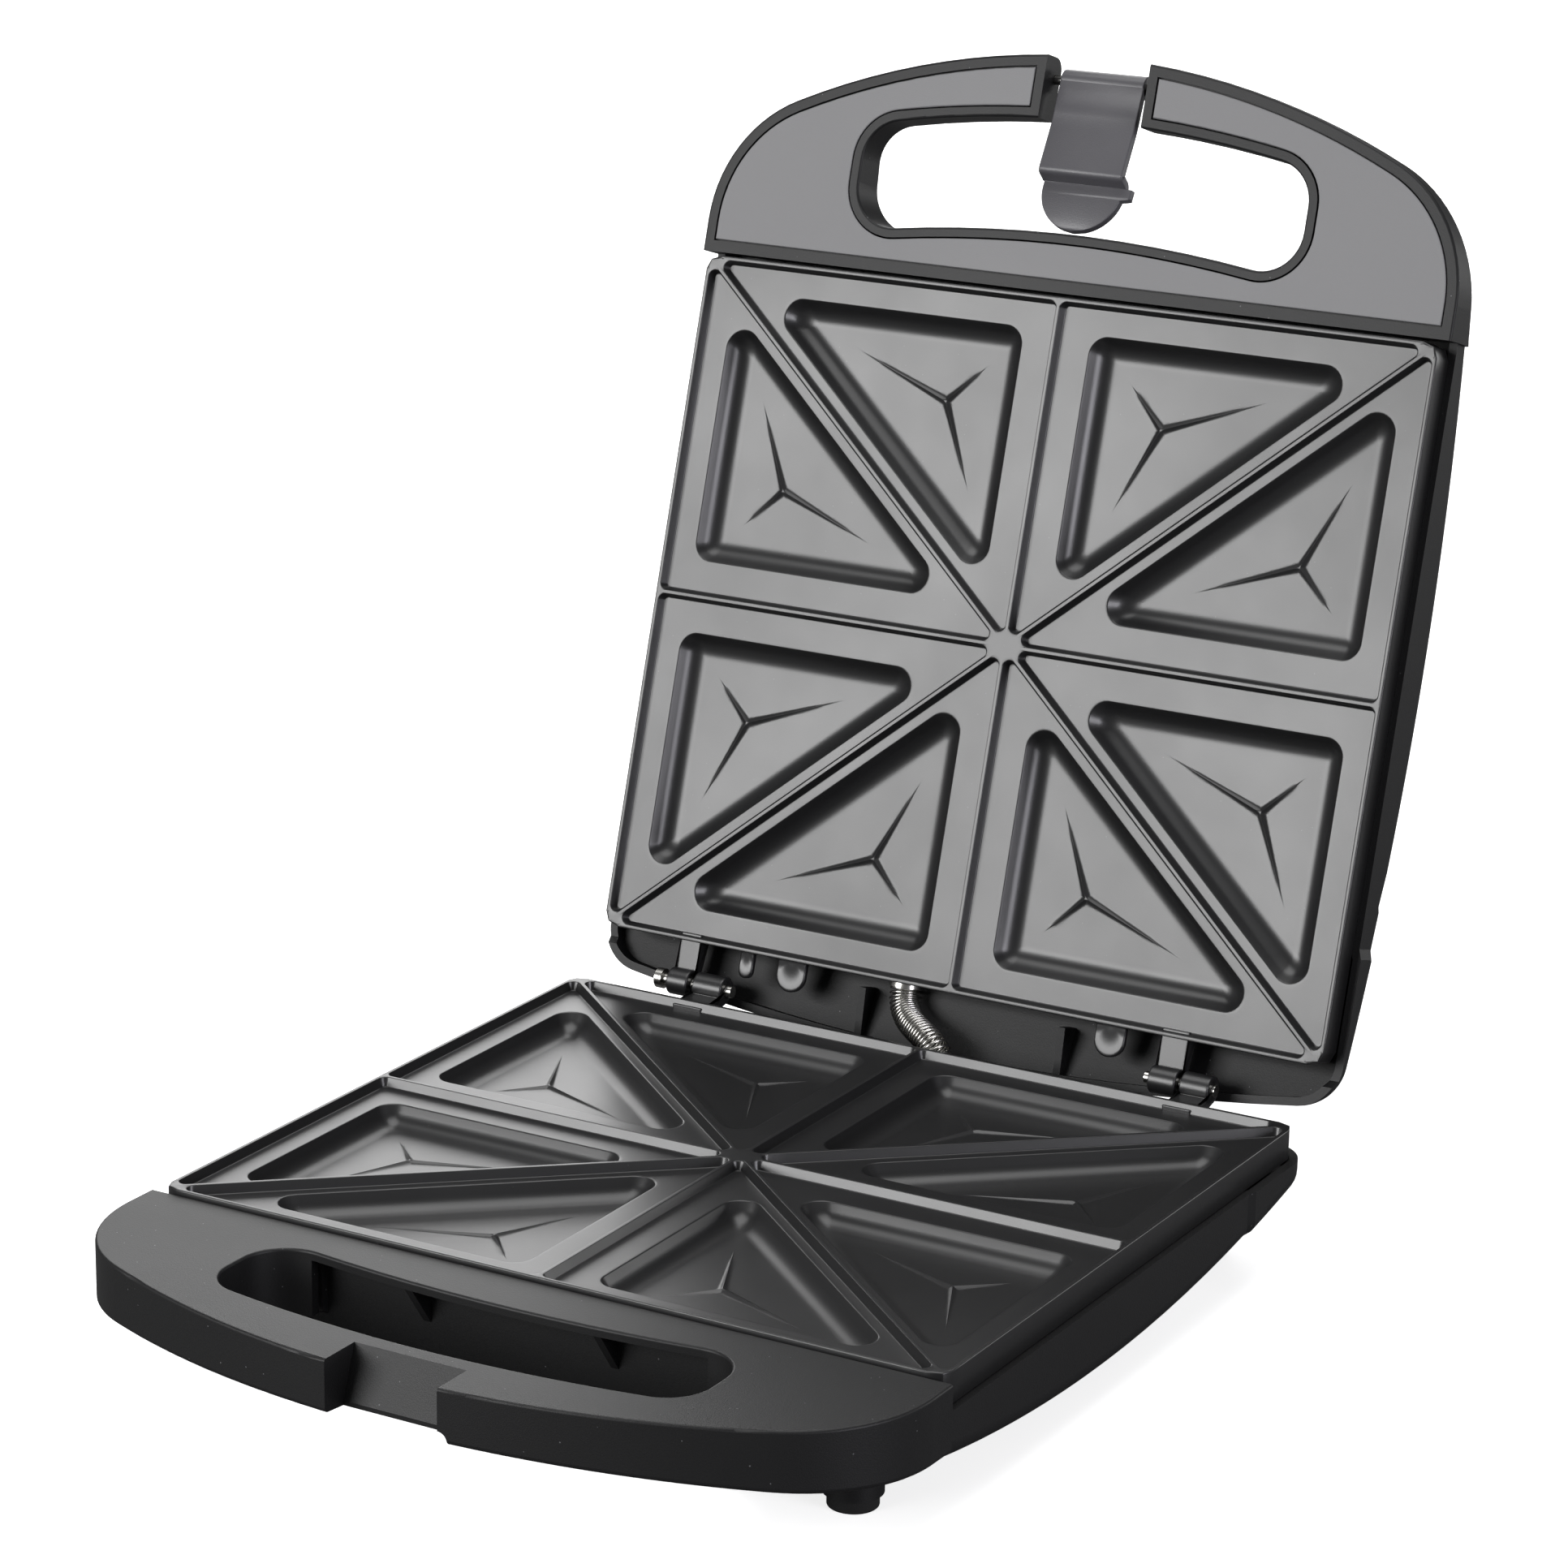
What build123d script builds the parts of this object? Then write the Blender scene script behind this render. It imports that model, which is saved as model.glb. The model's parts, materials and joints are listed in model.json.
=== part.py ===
from build123d import *
import os
from math import atan2, ceil, cos, hypot, pi, sin, sqrt

# Sandwich toaster for four slices, with its lid standing open on its stop.
#
# Row frame: X to the right, Y to the back, Z up, in millimetres. The origin lies on the
# table, under the centre of the lower plate.
#
# Base and lid are near mirror images about the parting plane, so each half is modelled in
# its own half frame: z = 0 is the parting plane, where the ribs of the two plates meet, and
# negative z runs into the housing. base_place and lid_place carry a half to the row frame.

os.makedirs("parts", exist_ok=True)

tolerance = 0.01  # for picking edges by their place
overlap = 1.0  # how far a cutting solid passes the faces that it opens

# --- Plates -----------------------------------------------------------------------------
plate_width = 250.0
plate_depth = 215.7
plate_corner = 5.0
skirt_height = 9.5  # from the rib crests to the rim of the housing
skirt_wall = 2.4
plate_wall = 2.2
tab_drop = 0.4  # top of the upper plate's tabs below the rib crests
tab_thickness = 2.0
tab_root = 2.0  # how far the tabs reach into the skirt
tab_round_share = 0.45
rib_crest = 1.4  # flat width on top of the sealing ribs
rib_foot = 3.8  # width of the ribs where they meet the cell floors
cell_drop = 2.8  # rib crest to cell floor
cell_crest_corner = 2.4
cell_foot_corner = 1.3
pocket_drop = 5.7  # cell floor to pocket floor
pocket_run = 4.6  # sideways run of the pocket wall
pocket_corner = 6.4
pocket_to_rim = 10.3
pocket_to_cross = 11.6
pocket_to_diagonal = 4.8
crease_reach = 0.475  # share of the way from a pocket's centre to its corners
crease_waist = 1.5
crease_height = 1.1

# --- Housings -----------------------------------------------------------------------------
housing_wall = 2.6
housing_half_width = 127.0
housing_front = 118.0
housing_corner = 14.0
rear_bow = 10.8  # how far the rear edge bows out at the centre
seam_y = 72.0  # behind this line the side walls stand a little proud
seam_step = 1.0
seam_run = 3.0
base_rear = 123.4
lid_rear = 130.0
lid_rear_rim = 7.0  # depth of the lid's rear edge below the parting plane
base_belly_depth = 31.7
base_belly_y = -15.0
base_belly_radius = 560.0
lid_belly_depth = 29.5
lid_belly_y = -8.7
lid_belly_radius = 547.0
belly_fillet = 6.0
low_edge_reach = 12.0  # edges nearer than this to an arc's end are left sharp
profile_reach = 132.0  # ends of the arcs that cut a housing's side view
rear_wall_gap = 4.0  # from the plate to the rising rear wall
rear_wall_lean = 2.0
web_thickness = 2.4
web_gap = 4.0  # between the lid's rear webs and the plate
web_top = 5.5
lid_web_x = (-32.5, 37.0)

# --- Handles ------------------------------------------------------------------------------
handle_half_width = 128.0
handle_front = 181.8
handle_bow_radius = 243.4
handle_corner = 44.0
handle_face = 1.2  # depth of the handle faces below the rib crests
handle_rear = 109.0
handle_blend = 2.0  # overlap of a handle and its housing
handle_profile_reach = 4.0  # the underside's curve runs on past the handle's front
handle_edge_drop = 3.0  # edges lower than this below a handle's face are the underside's
handle_skin = 2.6
handle_round = 0.8  # rounding of the outer edge of a handle's face
base_handle_front_depth = 15.8
base_handle_mid_depth = 19.6
base_handle_rear_depth = 20.6
base_handle_edge = 1.5
lid_handle_front_depth = 13.0
lid_handle_mid_depth = 13.7
lid_handle_rear_depth = 20.0
lid_handle_edge = 4.5
handle_mid_y = 138.0
grip_half_width = 76.0
grip_rear_edge = 120.6
grip_rear_bow = 6.6
grip_front_edge = 162.0
grip_front_bow = 8.0
grip_corner = 13.0
grip_wall = 3.0
notch_half_width = 17.5
notch_relief_radius = 2.8  # hollow in the lower corner beside the notch
keeper_top = 167.5  # the keeper wall leans out towards the bottom
keeper_bottom = 172.8
finger_wall_y = 115.5  # wall behind the fingers in the base, set back under the skin
finger_wall_depth = 25.0
finger_wall_half_width = 63.0
finger_lip = 1.0
gusset_x = 30.0
gusset_thickness = 2.4
gusset_depth = 14.5
panel_thickness = 1.6
panel_border = 3.5
panel_groove = 0.5
panel_ledge = 1.6
panel_rear = 111.0
panel_round = 0.35

# --- Feet ---------------------------------------------------------------------------------
parting_height = 40.0  # parting plane above the table
foot_x = 101.0
foot_front_y = -112.0
foot_rear_y = 97.0
foot_radius = 7.0
foot_thickness = 4.0
foot_boss_radius = 8.25
foot_boss_top = 13.0
foot_edge = 0.6
foot_stem_radius = 3.2
foot_stem_length = 9.0
stem_end_gap = 0.4

# --- Hinge --------------------------------------------------------------------------------
hinge_y = 121.0
open_angle = 106.4
knuckle_radius = 4.3
hinge_pin_radius = 1.9
running_clearance = 0.05
lug_root = 7.6  # how far down the skirt the hinge lugs start
left_upper_knuckle = (-97.0, -89.6)
left_lower_knuckle = (-87.4, -77.0)
right_upper_knuckle = (72.0, 81.0)
right_lower_knuckle = (82.6, 92.0)
pin_tail = 2.3  # how far a hinge pin reaches past its inner knuckle
pin_reach_left = 5.0  # and past its outer one, with its head
pin_reach_right = 1.0
pin_head_radius = 3.2
pin_head_length = 2.4

# --- Latch --------------------------------------------------------------------------------
latch_y = -174.5
latch_height = 9.3  # pivot above the parting plane, lid closed
latch_width = 28.4
latch_barrel_radius = 3.6
latch_thickness = 2.8
latch_back = 1.1  # inner face of the strap behind the pivot
latch_step_top = 27.4
latch_step_bottom = 31.5
latch_step_depth = 4.8
latch_reach = 47.0
latch_ear = 2.2
latch_ear_height = 3.6
latch_tab_inset = 0.6
latch_bend = 1.4
latch_rest_tilt = 75.5  # from hanging straight down, lid closed, to its stop
latch_pin_radius = 1.5

# --- Fasteners ------------------------------------------------------------------------------
screw_radius = 1.5
screw_head_radius = 2.9
screw_head_height = 1.8
screw_clearance = 0.2
screw_grip = 0.03
screw_bite = 4.5  # how far a shank reaches into its boss
mount_x = 60.0
mount_y = 101.5
mount_boss_radius = 4.0
mount_joint = 11.5  # depth of the joint between plate boss and housing pillar
mount_seat_cover = 4.5
pillar_radius = 5.2

# --- Inside each half -------------------------------------------------------------------------
element_radius = 3.25
element_depth = 14.2
element_x = 70.0
element_front = 60.0
element_rear = 64.0
element_end_x = 24.0
element_bend = 16.0
terminal_radius = 1.4
terminal_length = 9.0
tray_half_width = 88.0
tray_half_depth = 78.0
tray_thickness = 0.8
tray_depth = 17.8
tray_lip = 4.0
tray_post_x = 36.0
tray_post_y = 34.0
tray_post_radius = 3.5
thermostat_radius = 9.0
thermostat_height = 9.5
thermostat_tab_width = 6.0
thermostat_tab_length = 7.0
fuse_radius = 2.4
fuse_length = 10.0
fuse_y = 20.0
fuse_gap = 0.2
lead_radius = 0.5
lead_length = 3.0

# --- Cord housing at the rear of the base -------------------------------------------------------
cord_bay_half_width = 30.0
cord_bay_front = 40.0
cord_bay_depth = 29.5
block_half_width = 14.0
block_front = 82.0
block_length = 16.0
block_height = 9.0
block_screw_x = 8.0
inlet_x = 17.0
inlet_depth = 21.2
inlet_radius = 4.6
inlet_bore = 3.4
inlet_flange = 6.2
inlet_inner_flange = 5.4
inlet_flange_thickness = 2.0
inlet_length = 9.0

# --- Spring sleeve over the wires that cross the hinge -------------------------------------------
sleeve_radius = 4.0
sleeve_wire = 0.7
sleeve_pitch = 2.9
sleeve_clearance = 0.15
sleeve_lid_x = -19.0
sleeve_lid_depth = 8.0
sleeve_lid_start = 105.2
sleeve_lid_exit = 109.6
sleeve_base_x = 3.0
sleeve_base_y = 114.5
sleeve_base_exit = 10.0
sleeve_base_end = 20.0
sleeve_slack = 15.0
sleeve_stretch = 1.08  # length of the slack curve against its straight span
lid_anchor_wall = 1.0
lid_anchor_length = 1.6
base_anchor_wall = 1.6
base_anchor_length = 5.0
skirt_notch_top = 3.4
upper_plate_tabs = ((-71.9, 4.8, 116.0), (-55.6, 10.0, 117.5), (55.6, 10.0, 117.5))  # x, width, reach

# --- Indicators on the lid --------------------------------------------------------------------
lamp_x = 12.0
lamp_y = -88.0
lens_radius = 4.5
lens_flange = 5.6
lens_seat_rise = 1.0  # the seat clears the sloping skin
lens_proud = 1.4
lens_rise = 0.9
lens_fit = 0.1
lens_rim = 1.0  # thickness of a lens's inner rim
lamp_radius = 3.0
lamp_length = 7.0
cap_thickness = 1.4
cap_sink = 1.0

# --- Places of the halves -----------------------------------------------------------------------
base_place = Location((0, 0, parting_height))
closed_lid = Plane((0, 0, parting_height), x_dir=(-1, 0, 0), z_dir=(0, 0, -1)).location
opening = (
    Location((0, hinge_y, parting_height))
    * Location((0, 0, 0), (-open_angle, 0, 0))
    * Location((0, -hinge_y, -parting_height))
)
lid_place = opening * closed_lid
latch_place = (
    opening
    * Location((0, latch_y, parting_height + latch_height))
    * Location((0, 0, 0), (latch_rest_tilt, 0, 0))
)


def finish(piece, name, place):
    """Label a finished piece, bring it to its place and write its STEP file."""
    piece.part.label = name
    piece.part.locate(place)
    export_step(piece.part, f"parts/{name}.step")
    return piece.part


def across(x):
    """Plane at x that looks along X, with the sketch axes on Y and Z."""
    return Plane((x, 0, 0), x_dir=(0, 1, 0), z_dir=(1, 0, 0))


def facing_front(y):
    """Plane at y that looks along -Y, with the sketch axes on X and Z."""
    return Plane((0, y, 0), x_dir=(1, 0, 0), z_dir=(0, -1, 0))


# --- Plates -----------------------------------------------------------------------------


def cell_corners():
    """The eight triangles between the ribs: centre, middle of an edge, corner of the plate."""
    half_x, half_y = plate_width / 2, plate_depth / 2
    cells = []
    for side_x in (-1, 1):
        for side_y in (-1, 1):
            corner = (side_x * half_x, side_y * half_y)
            cells.append(((0, 0), (0, side_y * half_y), corner))
            cells.append(((0, 0), (side_x * half_x, 0), corner))
    return cells


def inset_triangle(corners, insets):
    """Corners of the triangle whose sides lie inside the given one by the given insets."""
    middle_x = sum(x for x, _ in corners) / 3
    middle_y = sum(y for _, y in corners) / 3
    sides = []
    for number, inset in enumerate(insets):
        (ax, ay), (bx, by) = corners[number], corners[(number + 1) % 3]
        length = hypot(bx - ax, by - ay)
        nx, ny = (ay - by) / length, (bx - ax) / length
        reach = nx * ax + ny * ay
        if nx * middle_x + ny * middle_y < reach:
            nx, ny, reach = -nx, -ny, -reach
        sides.append((nx, ny, reach + inset))
    moved = []
    for number in range(3):
        (a, b, c), (d, e, f) = sides[number - 1], sides[number]
        determinant = a * e - b * d
        moved.append(((c * e - b * f) / determinant, (a * f - c * d) / determinant))
    return moved


def triangle_solid(upper, upper_z, upper_round, lower, lower_z, lower_round):
    """Solid with straight sides between two rounded triangles at two heights."""
    with BuildPart() as solid:
        with BuildSketch(Plane.XY.offset(upper_z)) as top:
            with BuildLine():
                Polyline(*upper, close=True)
            make_face()
            fillet(top.vertices(), upper_round)
        with BuildSketch(Plane.XY.offset(lower_z)) as bottom:
            with BuildLine():
                Polyline(*lower, close=True)
            make_face()
            fillet(bottom.vertices(), lower_round)
        loft(ruled=True)
    return solid.part


def cell_solid(corners):
    """The space of one cell between its ribs."""
    crest, foot = rib_crest / 2, rib_foot / 2
    slope = foot - crest
    upper = inset_triangle(corners, (crest, rib_crest, crest))
    lower = inset_triangle(corners, (foot, rib_crest + slope, foot))
    return triangle_solid(upper, 0, cell_crest_corner, lower, -cell_drop, cell_foot_corner)


def pocket_solid(corners, wall):
    """The space of one pocket, or with a wall thickness the outside of its metal."""
    margins = (pocket_to_cross, pocket_to_rim, pocket_to_diagonal)
    upper = inset_triangle(corners, [margin - wall for margin in margins])
    lower = inset_triangle(corners, [margin + pocket_run - wall for margin in margins])
    top = -cell_drop - wall / 2
    bottom = -cell_drop - pocket_drop - wall
    corner = pocket_corner + wall
    return triangle_solid(upper, top, corner, lower, bottom, corner - pocket_run)


def crease_solid(corners):
    """The low three-armed ridge on a pocket floor, a ridge towards each corner."""
    margins = (pocket_to_cross, pocket_to_rim, pocket_to_diagonal)
    tips = inset_triangle(corners, margins)
    sides = [hypot(tips[i - 1][0] - tips[i - 2][0], tips[i - 1][1] - tips[i - 2][1]) for i in range(3)]
    x = sum(side * tip[0] for side, tip in zip(sides, tips)) / sum(sides)
    y = sum(side * tip[1] for side, tip in zip(sides, tips)) / sum(sides)
    ends = [(x + crease_reach * (tx - x), y + crease_reach * (ty - y)) for tx, ty in tips]
    star = []
    for number in range(3):
        ax, ay = ends[number]
        bx, by = ends[(number + 1) % 3]
        first = atan2(ay - y, ax - x)
        turn = (atan2(by - y, bx - x) - first + pi) % (2 * pi) - pi
        star.append((ax, ay))
        between = first + turn / 2
        star.append((x + crease_waist * cos(between), y + crease_waist * sin(between)))
    floor = -cell_drop - pocket_drop
    with BuildPart() as crease:
        with BuildSketch(Plane.XY.offset(floor)) as foot:
            with BuildLine():
                Polyline(*star, close=True)
            make_face()
        loft([foot.sketch, Vertex(x, y, floor + crease_height)], ruled=True)
    return crease.part


def lug_solid(span):
    """A hinge lug: its eye lies on the hinge axis and its root on the rear skirt."""
    first, last = span
    with BuildPart() as lug:
        with BuildSketch(across(first)):
            with Locations((hinge_y, 0)):
                Circle(knuckle_radius)
            with Locations((plate_depth / 2 - skirt_wall / 2, -(handle_face + lug_root) / 2)):
                Rectangle(skirt_wall, lug_root - handle_face)
            make_hull()
        extrude(amount=last - first)
    return lug.part


def plate(lugs, tabs, notch_x):
    """A cooking plate: ribs, cells, pockets, skirt, bosses and its half of the hinge."""
    cells = cell_corners()
    under = -cell_drop - plate_wall
    with BuildPart() as body:
        with BuildSketch():
            RectangleRounded(plate_width, plate_depth, plate_corner)
        extrude(amount=-skirt_height)
        with BuildSketch(Plane.XY.offset(under)):
            RectangleRounded(plate_width - 2 * skirt_wall, plate_depth - 2 * skirt_wall, plate_corner / 2)
        extrude(amount=-skirt_height, mode=Mode.SUBTRACT)
        with BuildSketch(Plane.XY.offset(under)):
            with Locations(*mount_points()):
                Circle(mount_boss_radius)
        extrude(amount=-(mount_joint + under))
        with BuildSketch(Plane.XY.offset(under)):
            with Locations(*tray_posts()):
                Circle(tray_post_radius)
        extrude(amount=-(tray_depth + under))
        add([pocket_solid(cell, plate_wall) for cell in cells])
        add([cell_solid(cell) for cell in cells], mode=Mode.SUBTRACT)
        add([pocket_solid(cell, 0) for cell in cells], mode=Mode.SUBTRACT)
        add([crease_solid(cell) for cell in cells])
        with BuildSketch(Plane.XY.offset(-mount_joint)):
            with Locations(*mount_points()):
                Circle(screw_radius + screw_grip)
        extrude(amount=mount_joint + under, mode=Mode.SUBTRACT)
        with BuildSketch(Plane.XY.offset(-tray_depth)):
            with Locations(*tray_posts()):
                Circle(screw_radius + screw_grip)
        extrude(amount=tray_depth + under, mode=Mode.SUBTRACT)
        if notch_x is not None:
            with BuildSketch(facing_front(plate_depth / 2 + overlap)):
                with Locations((notch_x, -(skirt_notch_top + skirt_height) / 2 - overlap)):
                    Rectangle(2 * (sleeve_radius + sleeve_wire), skirt_height - skirt_notch_top + 2 * overlap)
            extrude(amount=skirt_wall + 1.5 * overlap, mode=Mode.SUBTRACT)
        for lug in lugs:
            add(lug_solid(lug))
        for x, width, reach in tabs:
            with BuildSketch(Plane.XY.offset(-tab_drop)) as tab:
                with Locations((x, (plate_depth / 2 - tab_root + reach) / 2)):
                    Rectangle(width, reach - plate_depth / 2 + tab_root)
                fillet(tab.vertices().group_by(Axis.Y)[-1], tab_round_share * width)
            extrude(amount=-tab_thickness)
        for first, last in lugs:
            with BuildSketch(across(first - overlap)):
                with Locations((hinge_y, 0)):
                    Circle(hinge_pin_radius + running_clearance)
            extrude(amount=last - first + 2 * overlap, mode=Mode.SUBTRACT)
    return body


# --- Housings -------------------------------------------------------------------------------


def belly(y, depth, middle, radius):
    """Height of a housing's outer skin on its side view arc."""
    return -depth + radius - sqrt(radius**2 - (y - middle) ** 2)


def housing_plan(rear):
    """Plan outline of a housing without its handle, as a sketch on the XY plane."""
    wide = housing_half_width + seam_step
    corner_y = rear - rear_bow
    with BuildSketch() as plan:
        with BuildLine():
            Polyline(
                (-wide, corner_y),
                (-wide, seam_y + seam_run),
                (-housing_half_width, seam_y),
                (-housing_half_width, -housing_front),
                (housing_half_width, -housing_front),
                (housing_half_width, seam_y),
                (wide, seam_y + seam_run),
                (wide, corner_y),
            )
            ThreePointArc((wide, corner_y), (0, rear), (-wide, corner_y))
        make_face()
        fillet(plan.vertices().group_by(Axis.Y)[-1], housing_corner)
    return plan.sketch


def housing_block(plan, depth, middle, radius, rear_rim):
    """Plan outline cut to the side view: an arc below, the rim line above."""
    front_z = belly(-profile_reach, depth, middle, radius)
    rear_z = belly(profile_reach, depth, middle, radius)
    rear_start = plate_depth / 2 + rear_wall_gap
    with BuildPart() as block:
        add(plan)
        extrude(amount=-2 * depth)
        with BuildSketch(across(0)):
            with BuildLine():
                ThreePointArc((-profile_reach, front_z), (middle, -depth), (profile_reach, rear_z))
                Polyline(
                    (profile_reach, rear_z),
                    (profile_reach, -rear_rim),
                    (rear_start + rear_wall_lean, -rear_rim),
                    (rear_start, -skirt_height),
                    (-profile_reach, -skirt_height),
                    (-profile_reach, front_z),
                )
            make_face()
        extrude(amount=2 * housing_half_width, both=True, mode=Mode.INTERSECT)
    return block


def inset_plan(plan, wall):
    """A plan outline drawn in by a wall thickness."""
    with BuildSketch() as inner:
        add(plan)
        offset(amount=-wall, kind=Kind.INTERSECTION)
    return inner.sketch


def handle_plan():
    """Plan outline of a handle, bowed at the front."""
    side_y = -handle_front + handle_bow_radius - sqrt(handle_bow_radius**2 - handle_half_width**2)
    with BuildSketch() as plan:
        with BuildLine():
            ThreePointArc((-handle_half_width, side_y), (0, -handle_front), (handle_half_width, side_y))
            Polyline(
                (handle_half_width, side_y),
                (handle_half_width, -handle_rear),
                (-handle_half_width, -handle_rear),
                (-handle_half_width, side_y),
            )
        make_face()
        fillet(plan.vertices().group_by(Axis.Y)[0], handle_corner)
    return plan.sketch


def grip_plan():
    """Plan outline of the finger hole."""
    with BuildSketch() as plan:
        rear, front = -grip_rear_edge, -grip_front_edge + grip_front_bow
        with BuildLine():
            ThreePointArc(
                (-grip_half_width, rear), (0, rear - grip_rear_bow), (grip_half_width, rear)
            )
            Line((grip_half_width, rear), (grip_half_width, front))
            ThreePointArc(
                (grip_half_width, front), (0, -grip_front_edge), (-grip_half_width, front)
            )
            Line((-grip_half_width, front), (-grip_half_width, rear))
        make_face()
        fillet(plan.vertices(), grip_corner)
    return plan.sketch


def handle_block(front_depth, mid_depth, rear_depth, edge):
    """Solid handle between its face and its curved underside."""
    reach = handle_front + handle_profile_reach
    handle_end = -handle_rear + handle_blend
    with BuildPart() as block:
        add(handle_plan())
        extrude(amount=-2 * rear_depth)
        with BuildSketch(across(0)):
            with BuildLine():
                Spline((-reach, -front_depth), (-handle_mid_y, -mid_depth), (handle_end, -rear_depth))
                Polyline(
                    (handle_end, -rear_depth),
                    (handle_end, -handle_face),
                    (-reach, -handle_face),
                    (-reach, -front_depth),
                )
            make_face()
        extrude(amount=2 * handle_half_width, both=True, mode=Mode.INTERSECT)
        low = block.edges().filter_by(
            lambda edge_: edge_.bounding_box().max.Z < -handle_face - handle_edge_drop
            and edge_.center().Y < -handle_rear - handle_blend
        )
        fillet(low, edge)
        add(prism(grip_plan(), 0, -2 * rear_depth), mode=Mode.SUBTRACT)
        face_edges = block.edges().group_by(Axis.Z)[-1]
        fillet(face_edges.filter_by(lambda edge_: edge_.center().Y < -handle_rear), handle_round)
    return block.part


def column(x, y, radius, top, bottom):
    """An upright round solid between two heights."""
    with BuildPart() as post:
        with BuildSketch(Plane.XY.offset(top)):
            with Locations((x, y)):
                Circle(radius)
        extrude(amount=bottom - top)
    return post.part


def box(span_x, span_y, span_z):
    """A box between its limits along X, Y and Z."""
    (x0, x1), (y0, y1), (z0, z1) = span_x, span_y, span_z
    with BuildPart() as block:
        with BuildSketch(Plane.XY.offset(z0)):
            with Locations(((x0 + x1) / 2, (y0 + y1) / 2)):
                Rectangle(x1 - x0, y1 - y0)
        extrude(amount=z1 - z0)
    return block.part


def prism(plan, top, bottom):
    """A plan outline made solid between two heights."""
    with BuildPart() as solid:
        with BuildSketch(Plane.XY.offset(top)):
            add(plan)
        extrude(amount=bottom - top)
    return solid.part


def housing(rear, shape, rear_rim, solids):
    """The hollow tub of one half, joined with the solids that stand on its outside."""
    depth, middle, radius = shape
    outline = housing_plan(rear)
    inner = housing_block(
        inset_plan(outline, housing_wall),
        depth - housing_wall,
        middle,
        radius - housing_wall,
        rear_rim - housing_wall,
    )
    low_limit = belly(profile_reach - low_edge_reach, *shape)
    side_reach = housing_half_width - housing_wall - belly_fillet
    with BuildPart() as shell:
        add(housing_block(outline, depth, middle, radius, rear_rim).part)
        boxes = [(edge, edge.bounding_box()) for edge in shell.edges()]
        low = [
            edge
            for edge, limits in boxes
            if limits.max.Z < -skirt_height + tolerance
            and limits.min.Z < low_limit
            and limits.size.Z < 3 * hypot(limits.size.X, limits.size.Y)
        ]
        fillet(low, belly_fillet)
        add(solids)
        add(inner.part, mode=Mode.SUBTRACT)
        add(
            box(
                (-side_reach, side_reach),
                (-housing_front + housing_wall, -handle_rear - housing_wall),
                (-skirt_height - overlap, -handle_face - panel_thickness - handle_skin),
            ),
            mode=Mode.SUBTRACT,
        )
    return shell.part


def mount_points():
    """Plan positions of the four screws that hold a plate to its housing."""
    return [(x, y) for x in (-mount_x, mount_x) for y in (-mount_y, mount_y)]


def tray_posts():
    """Plan positions of the four screws that hold a reflector tray to its plate."""
    return [(-tray_post_x, 0), (tray_post_x, 0), (0, -tray_post_y), (0, tray_post_y)]


def columns(points, radius, top, bottom):
    """Upright round solids of one size at several places."""
    return [column(x, y, radius, top, bottom) for x, y in points]


def mount_pillars(shape):
    """Pillars from the housing floor to the plate bosses, without their holes."""
    return [
        column(x, y, pillar_radius, -mount_joint, belly(y, *shape) + housing_wall / 2)
        for x, y in mount_points()
    ]


def mount_holes(shape, seat):
    """Head recesses from outside and the clearance holes above them."""
    recess = [
        column(x, y, screw_head_radius + screw_clearance, seat, belly(y, *shape) - housing_wall)
        for x, y in mount_points()
    ]
    hole_radius = screw_radius + screw_clearance
    return recess + columns(mount_points(), hole_radius, -mount_joint + overlap, seat - overlap)


def screws(points, seat, top):
    """Identical screws: heads below the seat, shanks up into the metal."""
    with BuildPart() as group:
        with BuildSketch(Plane.XY.offset(seat)):
            with Locations(*points):
                Circle(screw_head_radius)
        extrude(amount=-screw_head_height)
        with BuildSketch(Plane.XY.offset(seat)):
            with Locations(*points):
                Circle(screw_radius)
        extrude(amount=top - seat)
        with BuildSketch(Plane.XY.offset(seat - screw_head_height)):
            with Locations(*points):
                RegularPolygon(screw_radius, 6)
        extrude(amount=screw_head_height / 2, mode=Mode.SUBTRACT)
    return group


def heating_element():
    """Tubular heater bent to a loop that is open at the back, with its two terminal pins."""
    loop = [
        (-element_end_x, element_rear),
        (-element_x, element_rear),
        (-element_x, -element_front),
        (element_x, -element_front),
        (element_x, element_rear),
        (element_end_x, element_rear),
    ]
    with BuildPart() as element:
        with BuildLine(Plane.XY.offset(-element_depth)) as route:
            FilletPolyline(*loop, radius=element_bend)
        with BuildSketch(Plane(route.line @ 0, z_dir=route.line % 0)):
            Circle(element_radius)
        sweep(path=route.line)
        with BuildSketch(across(-element_end_x - overlap)):
            with Locations((element_rear, -element_depth)):
                Circle(terminal_radius)
        extrude(amount=terminal_length + overlap)
        with BuildSketch(across(element_end_x + overlap)):
            with Locations((element_rear, -element_depth)):
                Circle(terminal_radius)
        extrude(amount=-terminal_length - overlap)
    return element


def reflector_tray():
    """Sheet tray below the heater, with a low lip and four screw holes."""
    with BuildPart() as tray:
        with BuildSketch(Plane.XY.offset(-tray_depth - tray_thickness)):
            Rectangle(2 * tray_half_width, 2 * tray_half_depth)
        extrude(amount=tray_thickness + tray_lip)
        with BuildSketch(Plane.XY.offset(-tray_depth)):
            Rectangle(2 * (tray_half_width - tray_thickness), 2 * (tray_half_depth - tray_thickness))
        extrude(amount=tray_lip, mode=Mode.SUBTRACT)
        with BuildSketch(Plane.XY.offset(-tray_depth)):
            with Locations(*tray_posts()):
                Circle(screw_radius + screw_clearance)
        extrude(amount=-tray_thickness, mode=Mode.SUBTRACT)
    return tray


def tray_screws():
    """The four screws that hold the reflector tray to the plate's posts."""
    return screws(tray_posts(), -tray_depth - tray_thickness, -tray_depth + screw_bite)


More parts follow.
